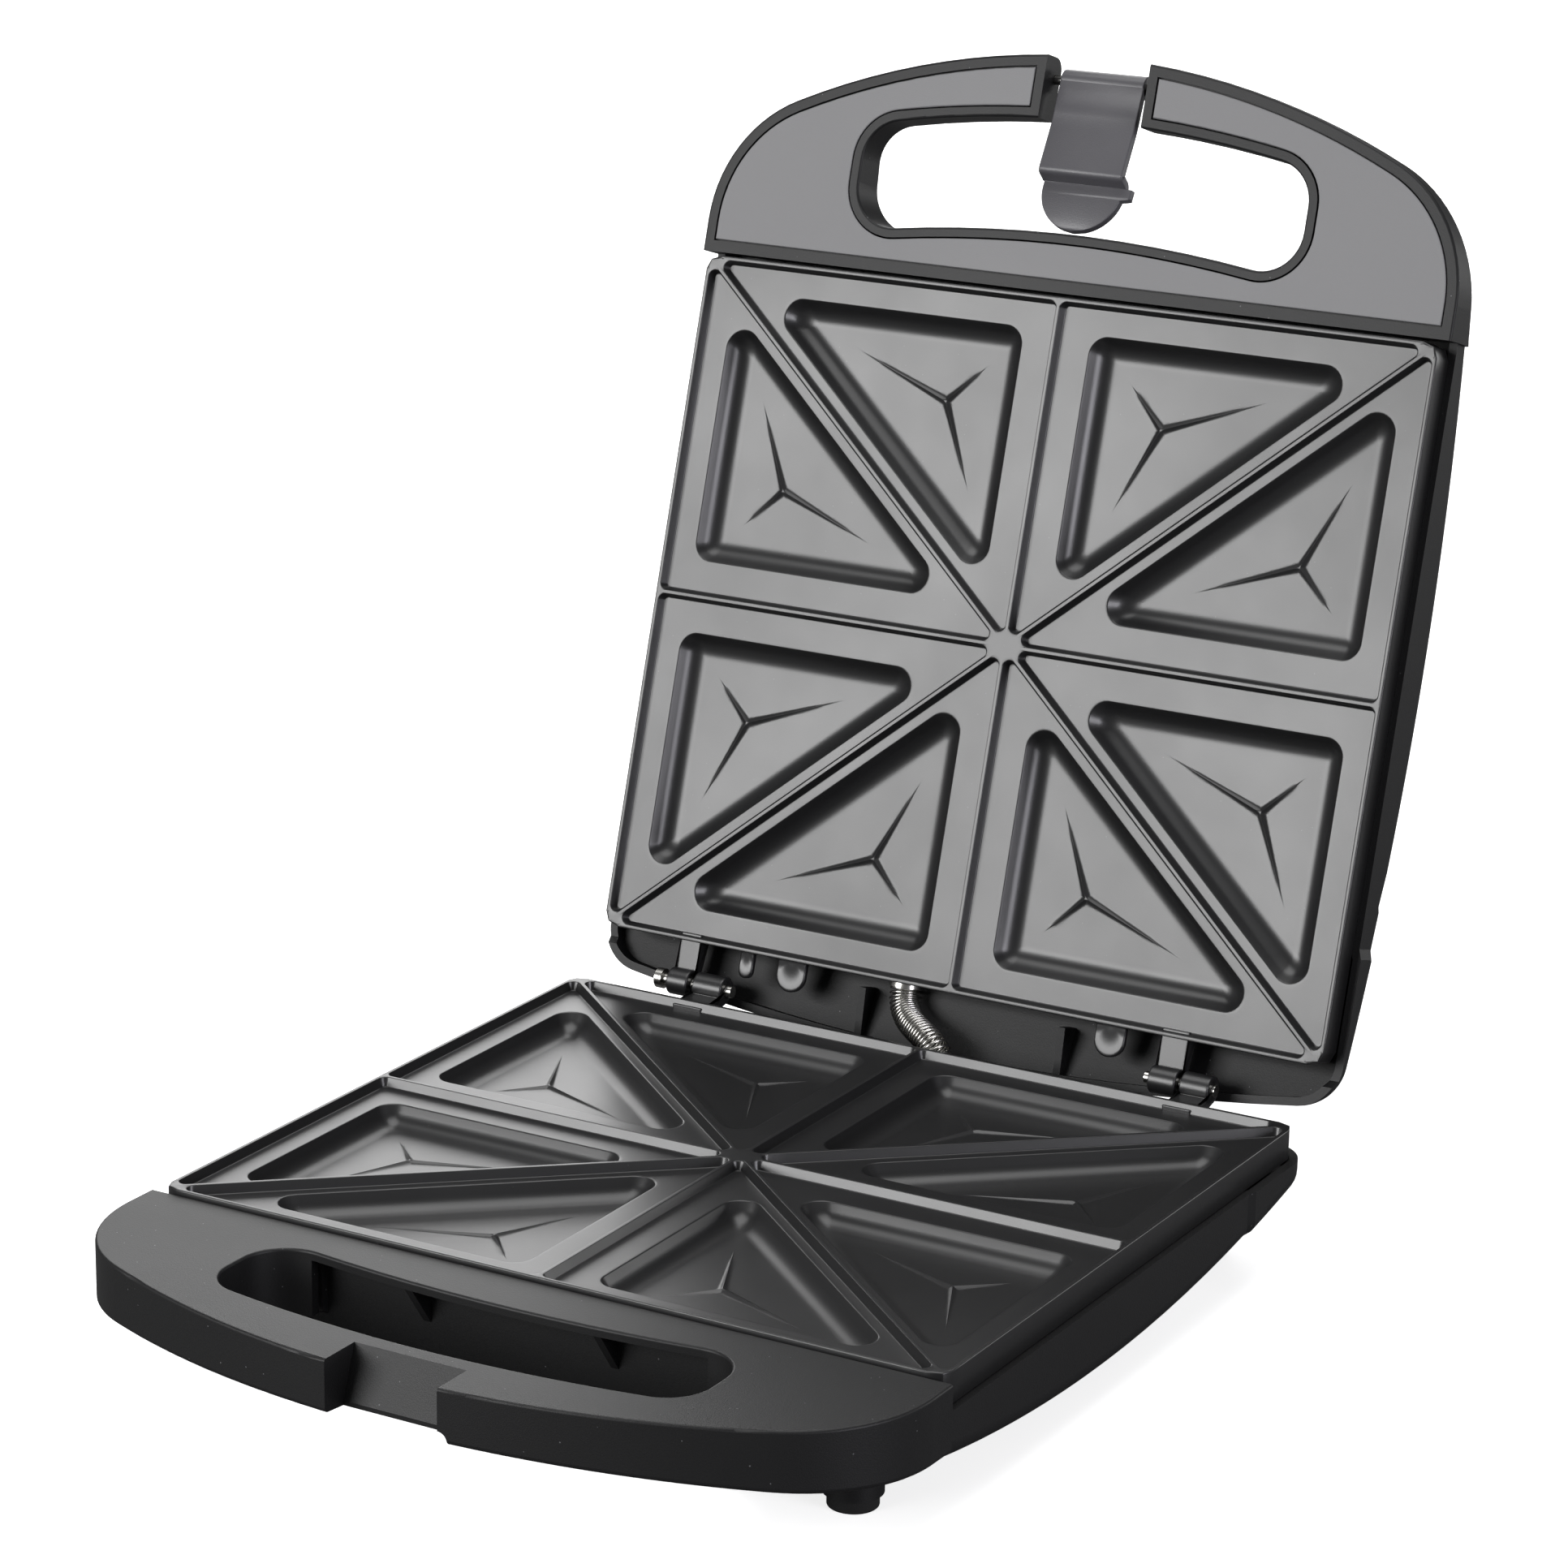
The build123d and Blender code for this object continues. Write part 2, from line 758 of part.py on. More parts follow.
def thermostat():
    """Round thermostat that lies against the middle of the plate, with two blade terminals."""
    top = -cell_drop - plate_wall
    low = top - thermostat_height + 2 * tray_thickness
    reach = thermostat_radius + thermostat_tab_length
    with BuildPart() as switch:
        add(column(0, 0, thermostat_radius, top, top - thermostat_height))
        for x in (-thermostat_radius / 2, thermostat_radius / 2):
            blade = (x - thermostat_tab_width / 2, x + thermostat_tab_width / 2)
            add(box(blade, (-reach, -thermostat_radius / 2), (low, low + tray_thickness)))
    return switch


def grip_ring(wall):
    """Plan of the finger hole, made larger by a wall."""
    with BuildSketch() as ring:
        add(grip_plan())
        offset(amount=wall)
    return ring.sketch


def handle_hollow_plan(border, wall, rear_y):
    """Plan of the space inside a handle, clear of its rim, grip wall and notch."""
    with BuildSketch() as plan:
        add(handle_plan())
        offset(amount=-border)
        with Locations((0, rear_y + handle_front)):
            Rectangle(4 * handle_half_width, 2 * handle_front, mode=Mode.SUBTRACT)
        add(grip_ring(wall), mode=Mode.SUBTRACT)
        with Locations((0, -handle_front)):
            Rectangle(
                2 * (notch_half_width + wall),
                2 * (handle_front - grip_front_edge + wall),
                mode=Mode.SUBTRACT,
            )
    return plan.sketch


def coil_arcs(points, tangents):
    """Two tangent arcs (a biarc) from each point to the next."""
    arcs = []
    for number in range(len(points) - 1):
        start, end = points[number], points[number + 1]
        leave, arrive = tangents[number], tangents[number + 1]
        span = end - start
        total = leave + arrive
        spread = 2 * (1 - leave.dot(arrive))
        along = span.dot(total)
        reach = (sqrt(along**2 + spread * span.dot(span)) - along) / spread
        first, second = start + leave * reach, end - arrive * reach
        middle = (first + second) / 2
        arcs.append((start, middle, leave))
        arcs.append((middle, end, (second - first).normalized()))
    return arcs


def coil_centre(share):
    """Point and direction of the spring sleeve's centre line, by its share of the length.

    The line runs straight out of the lid's anchor, bends in a slack double curve (a cubic
    through both exits) and runs straight into the base's anchor.
    """
    start, leave, arrive, end = sleeve_route
    first = (leave - start).length
    last = (end - arrive).length
    middle = (arrive - leave).length * sleeve_stretch
    travel = share * (first + middle + last)
    if travel < first:
        return start + (leave - start) * (travel / first), (leave - start).normalized()
    if travel > first + middle:
        return arrive + (end - arrive) * ((travel - first - middle) / last), (end - arrive).normalized()
    t = (travel - first) / middle
    near = leave + (leave - start).normalized() * sleeve_slack
    far = arrive - (end - arrive).normalized() * sleeve_slack
    point = leave * (1 - t) ** 3 + near * 3 * t * (1 - t) ** 2 + far * 3 * t**2 * (1 - t) + arrive * t**3
    slope = (near - leave) * (1 - t) ** 2 + (far - near) * 2 * t * (1 - t) + (arrive - far) * t**2
    return point, slope.normalized()


# --- Base --------------------------------------------------------------------------------
base_shape = (base_belly_depth, base_belly_y, base_belly_radius)
lid_shape = (lid_belly_depth, lid_belly_y, lid_belly_radius)
base_seat = belly(mount_y, *base_shape) + mount_seat_cover
lid_seat = belly(mount_y, *lid_shape) + mount_seat_cover
under_plate = -cell_drop - plate_wall
rear_skirt = plate_depth / 2

lower_plate = plate([left_lower_knuckle, right_lower_knuckle], [], None)
finish(lower_plate, "lower_plate", base_place)

foot_points = {
    "front_left": (-foot_x, foot_front_y),
    "front_right": (foot_x, foot_front_y),
    "rear_left": (-foot_x, foot_rear_y),
    "rear_right": (foot_x, foot_rear_y),
}
foot_top = -parting_height + foot_thickness
foot_bosses = columns(foot_points.values(), foot_boss_radius, -foot_boss_top, foot_top)
bay_rear = base_rear - seam_step
bay_floor = -cord_bay_depth + housing_wall
bay = box(
    (-cord_bay_half_width, cord_bay_half_width),
    (cord_bay_front, bay_rear),
    (-cord_bay_depth, -skirt_height - housing_wall),
)
bay_space = box(
    (housing_wall - cord_bay_half_width, cord_bay_half_width - housing_wall),
    (cord_bay_front + housing_wall, bay_rear - housing_wall),
    (bay_floor, -skirt_height + housing_wall),
)
base_handle = handle_block(
    base_handle_front_depth, base_handle_mid_depth, base_handle_rear_depth, base_handle_edge
)
below_base = -2 * base_handle_rear_depth
base_skin = -handle_face - handle_skin
finger_wall = (-finger_wall_y, -finger_wall_y + housing_wall)

with BuildPart() as base_shell:
    add(housing(base_rear, base_shape, skirt_height, [base_handle, bay]))
    add(bay_space, mode=Mode.SUBTRACT)
    add(mount_pillars(base_shape))
    add(mount_holes(base_shape, base_seat), mode=Mode.SUBTRACT)
    # the handle is hollow and open below, with a ring wall round the finger hole
    add(
        prism(handle_hollow_plan(handle_skin, grip_wall, -housing_front), base_skin, below_base),
        mode=Mode.SUBTRACT,
    )
    add(foot_bosses)
    add(
        columns(foot_points.values(), foot_stem_radius, foot_top, foot_top + foot_stem_length + stem_end_gap),
        mode=Mode.SUBTRACT,
    )
    # the wall behind the fingers is set back under the skin and braced by two gussets
    add(
        box(
            (-finger_wall_half_width - grip_wall, finger_wall_half_width + grip_wall),
            finger_wall,
            (-finger_wall_depth, base_skin + overlap),
        )
    )
    add(
        box(
            (-finger_wall_half_width, finger_wall_half_width),
            (-grip_rear_edge - grip_rear_bow - grip_wall, -finger_wall_y),
            (below_base, base_skin),
        ),
        mode=Mode.SUBTRACT,
    )
    gusset_front = -grip_rear_edge - grip_rear_bow * (1 - (gusset_x / grip_half_width) ** 2) + finger_lip
    for x in (-gusset_x, gusset_x):
        with BuildSketch(across(x - gusset_thickness / 2)):
            with BuildLine():
                Polyline(
                    (-finger_wall_y + overlap, base_skin + overlap),
                    (gusset_front, base_skin + overlap),
                    (gusset_front, base_skin),
                    (-finger_wall_y + overlap, base_skin - gusset_depth),
                    close=True,
                )
            make_face()
        extrude(amount=gusset_thickness)
    # notch for the latch, with a keeper wall that leans out towards the bottom
    with BuildSketch(across(-notch_half_width)):
        with BuildLine():
            Polyline(
                (-keeper_top, -handle_face),
                (-keeper_top, overlap),
                (-handle_front - overlap, overlap),
                (-handle_front - overlap, below_base),
                (-keeper_bottom, below_base),
                (-keeper_bottom, -base_handle_front_depth),
                close=True,
            )
        make_face()
    extrude(amount=2 * notch_half_width, mode=Mode.SUBTRACT)
    with BuildSketch(facing_front(-keeper_bottom)):
        with Locations((notch_half_width, -base_handle_front_depth)):
            Circle(notch_relief_radius)
    extrude(amount=handle_front - keeper_bottom + overlap, mode=Mode.SUBTRACT)
    # hole for the cord inlet
    with BuildSketch(facing_front(bay_rear + overlap)):
        with Locations((inlet_x, -inlet_depth)):
            Circle(inlet_radius)
    extrude(amount=housing_wall + 2 * overlap, mode=Mode.SUBTRACT)
finish(base_shell, "base_shell", base_place)

for corner, (x, y) in foot_points.items():
    with BuildPart() as foot:
        add(column(x, y, foot_radius, foot_top, -parting_height))
        fillet(foot.edges().group_by(Axis.Z)[0], foot_edge)
        stem_radius = foot_stem_radius - running_clearance
        add(column(x, y, stem_radius, foot_top + foot_stem_length, foot_top - overlap))
    finish(foot, f"foot_{corner}", base_place)

lower_plate_screws = screws(mount_points(), base_seat, -mount_joint + screw_bite)
finish(lower_plate_screws, "lower_plate_screws", base_place)
lower_heating_element = heating_element()
finish(lower_heating_element, "lower_heating_element", base_place)
lower_reflector = reflector_tray()
finish(lower_reflector, "lower_reflector", base_place)
lower_reflector_screws = tray_screws()
finish(lower_reflector_screws, "lower_reflector_screws", base_place)
lower_thermostat = thermostat()
finish(lower_thermostat, "lower_thermostat", base_place)

fuse_axis = (0, under_plate - fuse_radius - fuse_gap)
with BuildPart() as thermal_fuse:
    with BuildSketch(facing_front(fuse_y + fuse_length / 2)):
        with Locations(fuse_axis):
            Circle(fuse_radius)
    extrude(amount=fuse_length)
    with BuildSketch(facing_front(fuse_y + fuse_length / 2 + lead_length)):
        with Locations(fuse_axis):
            Circle(lead_radius)
    extrude(amount=fuse_length + 2 * lead_length)
finish(thermal_fuse, "thermal_fuse", base_place)

block_top = bay_floor + block_height
block_middle = block_front + block_length / 2
block_points = [(x, block_middle) for x in (-block_screw_x, 0, block_screw_x)]
with BuildPart() as terminal_block:
    add(
        box(
            (-block_half_width, block_half_width),
            (block_front, block_front + block_length),
            (bay_floor, block_top),
        )
    )
    add(
        columns(block_points, screw_head_radius, block_top, block_top - block_height / 2),
        mode=Mode.SUBTRACT,
    )
finish(terminal_block, "terminal_block", base_place)
with BuildPart() as terminal_screws:
    add(
        columns(
            block_points,
            screw_head_radius - screw_clearance,
            block_top - overlap,
            block_top - block_height / 2,
        )
    )
finish(terminal_screws, "terminal_screws", base_place)

inlet_rear = bay_rear - housing_wall
with BuildPart() as cord_inlet_bush:
    for rear, front, radius in (
        (bay_rear + inlet_flange_thickness, bay_rear, inlet_flange),
        (bay_rear + inlet_length, inlet_rear, inlet_radius - running_clearance),
        (inlet_rear, inlet_rear - inlet_flange_thickness, inlet_inner_flange),
    ):
        with BuildSketch(facing_front(rear)):
            with Locations((inlet_x, -inlet_depth)):
                Circle(radius)
        extrude(amount=rear - front)
    with BuildSketch(facing_front(bay_rear + inlet_length)):
        with Locations((inlet_x, -inlet_depth)):
            Circle(inlet_bore)
    extrude(amount=inlet_length + housing_wall + 2 * inlet_flange_thickness, mode=Mode.SUBTRACT)
finish(cord_inlet_bush, "cord_inlet_bush", base_place)

# --- Lid ---------------------------------------------------------------------------------
# The lid's half frame is turned over, so its x runs to the left of the row.
upper_lugs = [(-last, -first) for first, last in (left_upper_knuckle, right_upper_knuckle)]
upper_tabs = [(-x, width, reach) for x, width, reach in upper_plate_tabs]
upper_plate = plate(upper_lugs, upper_tabs, -sleeve_lid_x)
finish(upper_plate, "upper_plate", lid_place)

lid_handle = handle_block(
    lid_handle_front_depth, lid_handle_mid_depth, lid_handle_rear_depth, lid_handle_edge
)
below_lid = -2 * lid_handle_rear_depth
panel_floor = -handle_face - panel_thickness
hollow_border = panel_border + panel_ledge
with BuildPart() as lid_handle_hollow:
    add(
        handle_block(
            lid_handle_front_depth - handle_skin,
            lid_handle_mid_depth - handle_skin,
            lid_handle_rear_depth - handle_skin,
            lid_handle_edge - handle_skin,
        )
    )
    add(
        prism(handle_hollow_plan(hollow_border, grip_wall, -housing_front), 0, below_lid),
        mode=Mode.INTERSECT,
    )
pin_reach = notch_half_width + grip_wall
lens_points = [(-lamp_x, lamp_y), (lamp_x, lamp_y)]
lens_skin = belly(lamp_y, *lid_shape)
lens_seat = lens_skin + housing_wall + lens_seat_rise

with BuildPart() as lid_shell:
    add(housing(lid_rear, lid_shape, lid_rear_rim, [lid_handle]))
    add(mount_pillars(lid_shape))
    add(mount_holes(lid_shape, lid_seat), mode=Mode.SUBTRACT)
    # recess for the handle panel and the hollow below it
    add(
        prism(handle_hollow_plan(panel_border, grip_wall, -panel_rear), 0, panel_floor),
        mode=Mode.SUBTRACT,
    )
    add(lid_handle_hollow.part, mode=Mode.SUBTRACT)
    # notch for the latch, right through to the finger hole, and the seats of its pin
    add(
        box(
            (-notch_half_width, notch_half_width),
            (-handle_front - overlap, -grip_front_edge + grip_front_bow / 2),
            (below_lid, overlap),
        ),
        mode=Mode.SUBTRACT,
    )
    with BuildSketch(across(-pin_reach)):
        with Locations((latch_y, -latch_height)):
            Circle(latch_pin_radius + running_clearance)
    extrude(amount=2 * pin_reach, mode=Mode.SUBTRACT)
    # two webs that stiffen the rear wall
    web_front = rear_skirt + web_gap
    for x in lid_web_x:
        with BuildSketch(across(-x - web_thickness / 2)):
            with BuildLine():
                Polyline(
                    (web_front, -web_top),
                    (lid_rear - housing_wall, -lid_rear_rim),
                    (lid_rear - housing_wall, -lid_rear_rim - web_gap),
                    (web_front, belly(web_front, *lid_shape) + housing_wall / 2),
                    close=True,
                )
            make_face()
        extrude(amount=web_thickness)
    add(
        columns(lens_points, lens_radius + lens_fit, lens_skin + 2 * housing_wall, lens_skin - housing_wall),
        mode=Mode.SUBTRACT,
    )
finish(lid_shell, "lid_shell", lid_place)

with BuildPart() as lid_handle_panel:
    add(
        prism(
            handle_hollow_plan(
                panel_border + panel_groove, grip_wall + panel_groove, -panel_rear - panel_groove
            ),
            -handle_face,
            panel_floor,
        )
    )
    fillet(lid_handle_panel.edges().group_by(Axis.Z)[-1], panel_round)
finish(lid_handle_panel, "lid_handle_panel", lid_place)

for name, x in (("power_lens", lamp_x), ("ready_lens", -lamp_x)):
    with BuildPart() as lens:
        add(column(x, lamp_y, lens_radius, lens_seat + lens_rim, lens_skin - lens_proud))
        fillet(lens.edges().group_by(Axis.Z)[0], lens_rise)
        add(column(x, lamp_y, lens_flange, lens_seat + lens_rim, lens_seat))
    finish(lens, name, lid_place)
with BuildPart() as indicator_lamps:
    add(columns(lens_points, lamp_radius, lens_seat + lens_rim + lamp_length, lens_seat + lens_rim))
finish(indicator_lamps, "indicator_lamps", lid_place)

with BuildPart() as lid_screw_caps:
    for x, y in mount_points():
        skin = belly(y, *lid_shape) + cap_sink
        add(column(x, y, screw_head_radius + screw_clearance / 2, skin + cap_thickness, skin))
finish(lid_screw_caps, "lid_screw_caps", lid_place)

upper_plate_screws = screws(mount_points(), lid_seat, -mount_joint + screw_bite)
finish(upper_plate_screws, "upper_plate_screws", lid_place)
upper_heating_element = heating_element()
finish(upper_heating_element, "upper_heating_element", lid_place)
upper_reflector = reflector_tray()
finish(upper_reflector, "upper_reflector", lid_place)
upper_reflector_screws = tray_screws()
finish(upper_reflector_screws, "upper_reflector_screws", lid_place)
upper_thermostat = thermostat()
finish(upper_thermostat, "upper_thermostat", lid_place)

# --- Hinge pins ----------------------------------------------------------------------------
hinge_pins = {
    "hinge_pin_left": (left_upper_knuckle[0] - pin_reach_left, left_lower_knuckle[1] + pin_tail),
    "hinge_pin_right": (right_upper_knuckle[0] - pin_tail, right_lower_knuckle[1] + pin_reach_right),
}
for name, (start, stop) in hinge_pins.items():
    with BuildPart() as pin:
        with BuildSketch(across(start)):
            with Locations((hinge_y, 0)):
                Circle(hinge_pin_radius)
        extrude(amount=stop - start)
        if name == "hinge_pin_left":
            with BuildSketch(across(start)):
                with Locations((hinge_y, 0)):
                    Circle(pin_head_radius)
            extrude(amount=pin_head_length)
    finish(pin, name, base_place)

# --- Latch -----------------------------------------------------------------------------------
# Modelled hanging straight down from its pivot at the origin, its hook towards +Y.
strap_front = latch_back - latch_thickness
hook_back = latch_back + latch_step_depth
tab_front = hook_back - latch_thickness
tab_radius = latch_width / 2 - latch_tab_inset
with BuildPart() as latch:
    with BuildSketch(across(-latch_width / 2)):
        Circle(latch_barrel_radius)
        with BuildLine():
            Polyline(
                (strap_front, 0),
                (strap_front, -latch_step_bottom),
                (hook_back, -latch_step_bottom),
                (hook_back, -latch_step_top),
                (latch_back, -latch_step_top),
                (latch_back, 0),
                close=True,
            )
        make_face()
    extrude(amount=latch_width)
    outer_bend = [
        edge
        for edge in latch.edges().filter_by(Axis.X)
        if hypot(edge.center().Y - strap_front, edge.center().Z + latch_step_bottom) < tolerance
    ]
    fillet(outer_bend, latch_bend)
    with BuildSketch(facing_front(hook_back)):
        with Locations((0, -latch_reach + tab_radius)):
            Circle(tab_radius)
        with Locations((0, -latch_step_bottom / 2)):
            Rectangle(2 * latch_width, latch_step_bottom - overlap, mode=Mode.SUBTRACT)
        with Locations((latch_width / 2, -latch_step_bottom - latch_ear_height / 2 + overlap)):
            Rectangle(2 * latch_ear, latch_ear_height)
    extrude(amount=latch_thickness)
    with BuildSketch(across(-latch_width / 2)):
        Circle(latch_pin_radius + running_clearance)
    extrude(amount=latch_width, mode=Mode.SUBTRACT)
finish(latch, "latch", latch_place)
with BuildPart() as latch_pin:
    with BuildSketch(across(-pin_reach)):
        Circle(latch_pin_radius)
    extrude(amount=2 * pin_reach)
finish(latch_pin, "latch_pin", latch_place)

# --- Spring sleeve ---------------------------------------------------------------------------
anchor_bore = sleeve_radius + sleeve_clearance
with BuildPart() as lid_sleeve_anchor:
    with BuildSketch(facing_front(rear_skirt + lid_anchor_length)):
        with Locations((-sleeve_lid_x, -sleeve_lid_depth)):
            Circle(anchor_bore + lid_anchor_wall)
            Circle(anchor_bore, mode=Mode.SUBTRACT)
    extrude(amount=lid_anchor_length)
finish(lid_sleeve_anchor, "lid_sleeve_anchor", lid_place)
anchor_reach = anchor_bore + base_anchor_wall
with BuildPart() as base_sleeve_anchor:
    add(
        box(
            (sleeve_base_x - anchor_reach, sleeve_base_x + anchor_reach),
            (sleeve_base_y - anchor_reach, bay_rear - housing_wall),
            (-sleeve_base_end, -sleeve_base_end + base_anchor_length),
        )
    )
    add(
        column(
            sleeve_base_x,
            sleeve_base_y,
            anchor_bore,
            -sleeve_base_end + base_anchor_length,
            -sleeve_base_end,
        ),
        mode=Mode.SUBTRACT,
    )
finish(base_sleeve_anchor, "base_sleeve_anchor", base_place)


def row_point(place, x, y, z):
    """A point of a half frame in the row frame."""
    return (place * Location((x, y, z))).position


sleeve_route = [
    row_point(lid_place, -sleeve_lid_x, sleeve_lid_start, -sleeve_lid_depth),
    row_point(lid_place, -sleeve_lid_x, sleeve_lid_exit, -sleeve_lid_depth),
    row_point(base_place, sleeve_base_x, sleeve_base_y, -sleeve_base_exit),
    row_point(base_place, sleeve_base_x, sleeve_base_y, -sleeve_base_end),
]
route_length = (
    (sleeve_route[1] - sleeve_route[0]).length
    + (sleeve_route[2] - sleeve_route[1]).length * sleeve_stretch
    + (sleeve_route[3] - sleeve_route[2]).length
)
sleeve_turns = ceil(route_length / sleeve_pitch)
coil_radius = sleeve_radius - sleeve_wire / 2


def coil_point(turns):
    """A point of the wire, which circles the centre line once per turn."""
    centre, along = coil_centre(min(1.0, max(0.0, turns / sleeve_turns)))
    side = (Vector(1, 0, 0) - along * along.X).normalized()
    up = along.cross(side)
    angle = 2 * pi * turns
    return centre + (side * cos(angle) + up * sin(angle)) * coil_radius


def coil_direction(turns):
    """Direction of the wire at a point of it."""
    step = 0.001
    return (coil_point(turns + step) - coil_point(turns - step)).normalized()


half_turns = [number / 2 for number in range(2 * sleeve_turns + 1)]
wire_points = [coil_point(turns) for turns in half_turns]
wire_directions = [coil_direction(turns) for turns in half_turns]
with BuildPart() as spring_sleeve:
    with BuildLine() as wire:
        for start, end, direction in coil_arcs(wire_points, wire_directions):
            TangentArc(start, end, tangent=direction)
    with BuildSketch(Plane(wire.line @ 0, z_dir=wire.line % 0)):
        Circle(sleeve_wire / 2)
    sweep(path=wire.line)
finish(spring_sleeve, "spring_sleeve", Location())

steps_per_turn = 24
samples = [coil_point(number / steps_per_turn) for number in range(steps_per_turn * sleeve_turns)]
least = min(
    (first - second).length
    for number, first in enumerate(samples)
    for second in samples[number + steps_per_turn // 2 : number + 2 * steps_per_turn]
)
print(f"spring sleeve: {sleeve_turns} turns, least gap {least - sleeve_wire:.2f} mm")
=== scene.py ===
"""Looks of a sandwich toaster that stands open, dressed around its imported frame.

Lengths in the classes are millimetres, and every mesh is written in metres. Each half of the
toaster is described in its own half frame, as in the model: z = 0 is the parting plane where
the ribs of both plates meet, and negative z runs into the housing.
"""

import json
import logging
import math
from dataclasses import dataclass
from enum import Enum

import bmesh
import bpy
import numpy as np
from mathutils import Matrix, Vector


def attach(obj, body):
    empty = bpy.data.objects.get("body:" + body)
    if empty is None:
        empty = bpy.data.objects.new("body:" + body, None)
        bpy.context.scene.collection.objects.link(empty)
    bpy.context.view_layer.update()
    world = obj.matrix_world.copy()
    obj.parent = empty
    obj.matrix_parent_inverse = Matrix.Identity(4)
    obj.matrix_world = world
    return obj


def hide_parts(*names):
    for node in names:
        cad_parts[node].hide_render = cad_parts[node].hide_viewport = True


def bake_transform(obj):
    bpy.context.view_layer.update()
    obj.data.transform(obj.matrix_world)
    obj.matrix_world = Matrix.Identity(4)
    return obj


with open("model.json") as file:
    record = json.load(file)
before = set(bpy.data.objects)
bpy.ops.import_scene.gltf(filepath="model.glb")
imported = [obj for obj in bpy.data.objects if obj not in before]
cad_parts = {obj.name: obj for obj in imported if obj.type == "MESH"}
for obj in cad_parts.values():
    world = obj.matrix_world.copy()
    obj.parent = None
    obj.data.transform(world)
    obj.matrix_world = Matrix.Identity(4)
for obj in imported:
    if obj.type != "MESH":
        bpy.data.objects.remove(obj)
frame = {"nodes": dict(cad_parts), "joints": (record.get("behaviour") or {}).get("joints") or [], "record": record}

MM = 0.001
MERGE_DISTANCE = 2e-6
QUARTER = math.pi / 2
log = logging.getLogger("sandwich_toaster")


# --- Frame ----------------------------------------------------------------------------------


class Half(Enum):
    """The two halves that close on each other, by the body that each belongs to."""

    BASE = "base"
    LID = "lid"


def joint_named(name: str) -> dict:
    """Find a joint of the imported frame.

    Args:
        name: Name of the joint.

    Returns:
        The joint's entry.
    """
    return next(joint for joint in frame["joints"] if joint["name"] == name)


@dataclass(frozen=True)
class Hinge:
    """The lid's hinge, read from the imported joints."""

    y: float
    height: float
    open_angle: float

    @classmethod
    def from_frame(cls) -> "Hinge":
        """Read the hinge from the frame's joints.

        Returns:
            The hinge line in millimetres and the opening angle in radians.
        """
        joint = joint_named("lid_hinge")
        _, y, height = joint["pos_m"]
        return cls(y / MM, height / MM, math.radians(joint["range_deg"][1]))

    def place(self, points: np.ndarray, half: Half) -> np.ndarray:
        """Carry points of a half frame to the row frame.

        The lid's half is turned over, so its x and z change sign, and is then swung open
        about the hinge line.

        Args:
            points: Array of shape (..., 3) in millimetres.
            half: The half that the points belong to.

        Returns:
            The points in the row frame, in metres.
        """
        x, y, z = np.moveaxis(np.asarray(points, float), -1, 0)
        if half is Half.BASE:
            return np.stack([x, y, z + self.height], -1) * MM
        away, up = y - self.y, -z
        cos, sin = math.cos(self.open_angle), math.sin(self.open_angle)
        turned = [-x, self.y + away * cos + up * sin, self.height - away * sin + up * cos]
        return np.stack(turned, -1) * MM


HINGE = Hinge.from_frame()


# --- Mesh helpers ---------------------------------------------------------------------------


@dataclass
class Patch:
    """A grid of points that becomes quads and closes on itself along its second axis."""

    points: np.ndarray

    def faces(self, offset: int) -> np.ndarray:
        """Number the quads of the grid.

        Args:
            offset: Number of vertices that other patches take before this one.

        Returns:
            Array of shape (quads, 4) of vertex numbers.
        """
        rows, columns = self.points.shape[:2]
        grid = offset + np.arange(rows * columns).reshape(rows, columns)
        grid = np.hstack([grid, grid[:, :1]])
        quads = np.stack([grid[:-1, :-1], grid[:-1, 1:], grid[1:, 1:], grid[1:, :-1]], -1)
        return quads.reshape(-1, 4)


def build_mesh(name: str, patches: list[Patch]) -> bpy.types.Object:
    """Join grid patches to one mesh object with closed seams and outward faces.

    Args:
        name: Name of the object.
        patches: Grids of points in metres.

    Returns:
        The new object, linked to the scene.
    """
    sizes = [patch.points.shape[0] * patch.points.shape[1] for patch in patches]
    offsets = np.cumsum([0] + sizes)
    points = np.concatenate([patch.points.reshape(-1, 3) for patch in patches])
    faces = np.concatenate([patch.faces(offset) for patch, offset in zip(patches, offsets)])
    mesh = bpy.data.meshes.new(name)
    mesh.from_pydata(points, [], faces)
    work = bmesh.new()
    work.from_mesh(mesh)
    bmesh.ops.remove_doubles(work, verts=work.verts, dist=MERGE_DISTANCE)
    bmesh.ops.dissolve_degenerate(work, edges=work.edges, dist=MERGE_DISTANCE / 4)
    bmesh.ops.recalc_face_normals(work, faces=work.faces)
    work.to_mesh(mesh)
    work.free()
    mesh.polygons.foreach_set("use_smooth", np.ones(len(mesh.polygons), bool))
    piece = bpy.data.objects.new(name, mesh)
    bpy.context.scene.collection.objects.link(piece)
    return piece


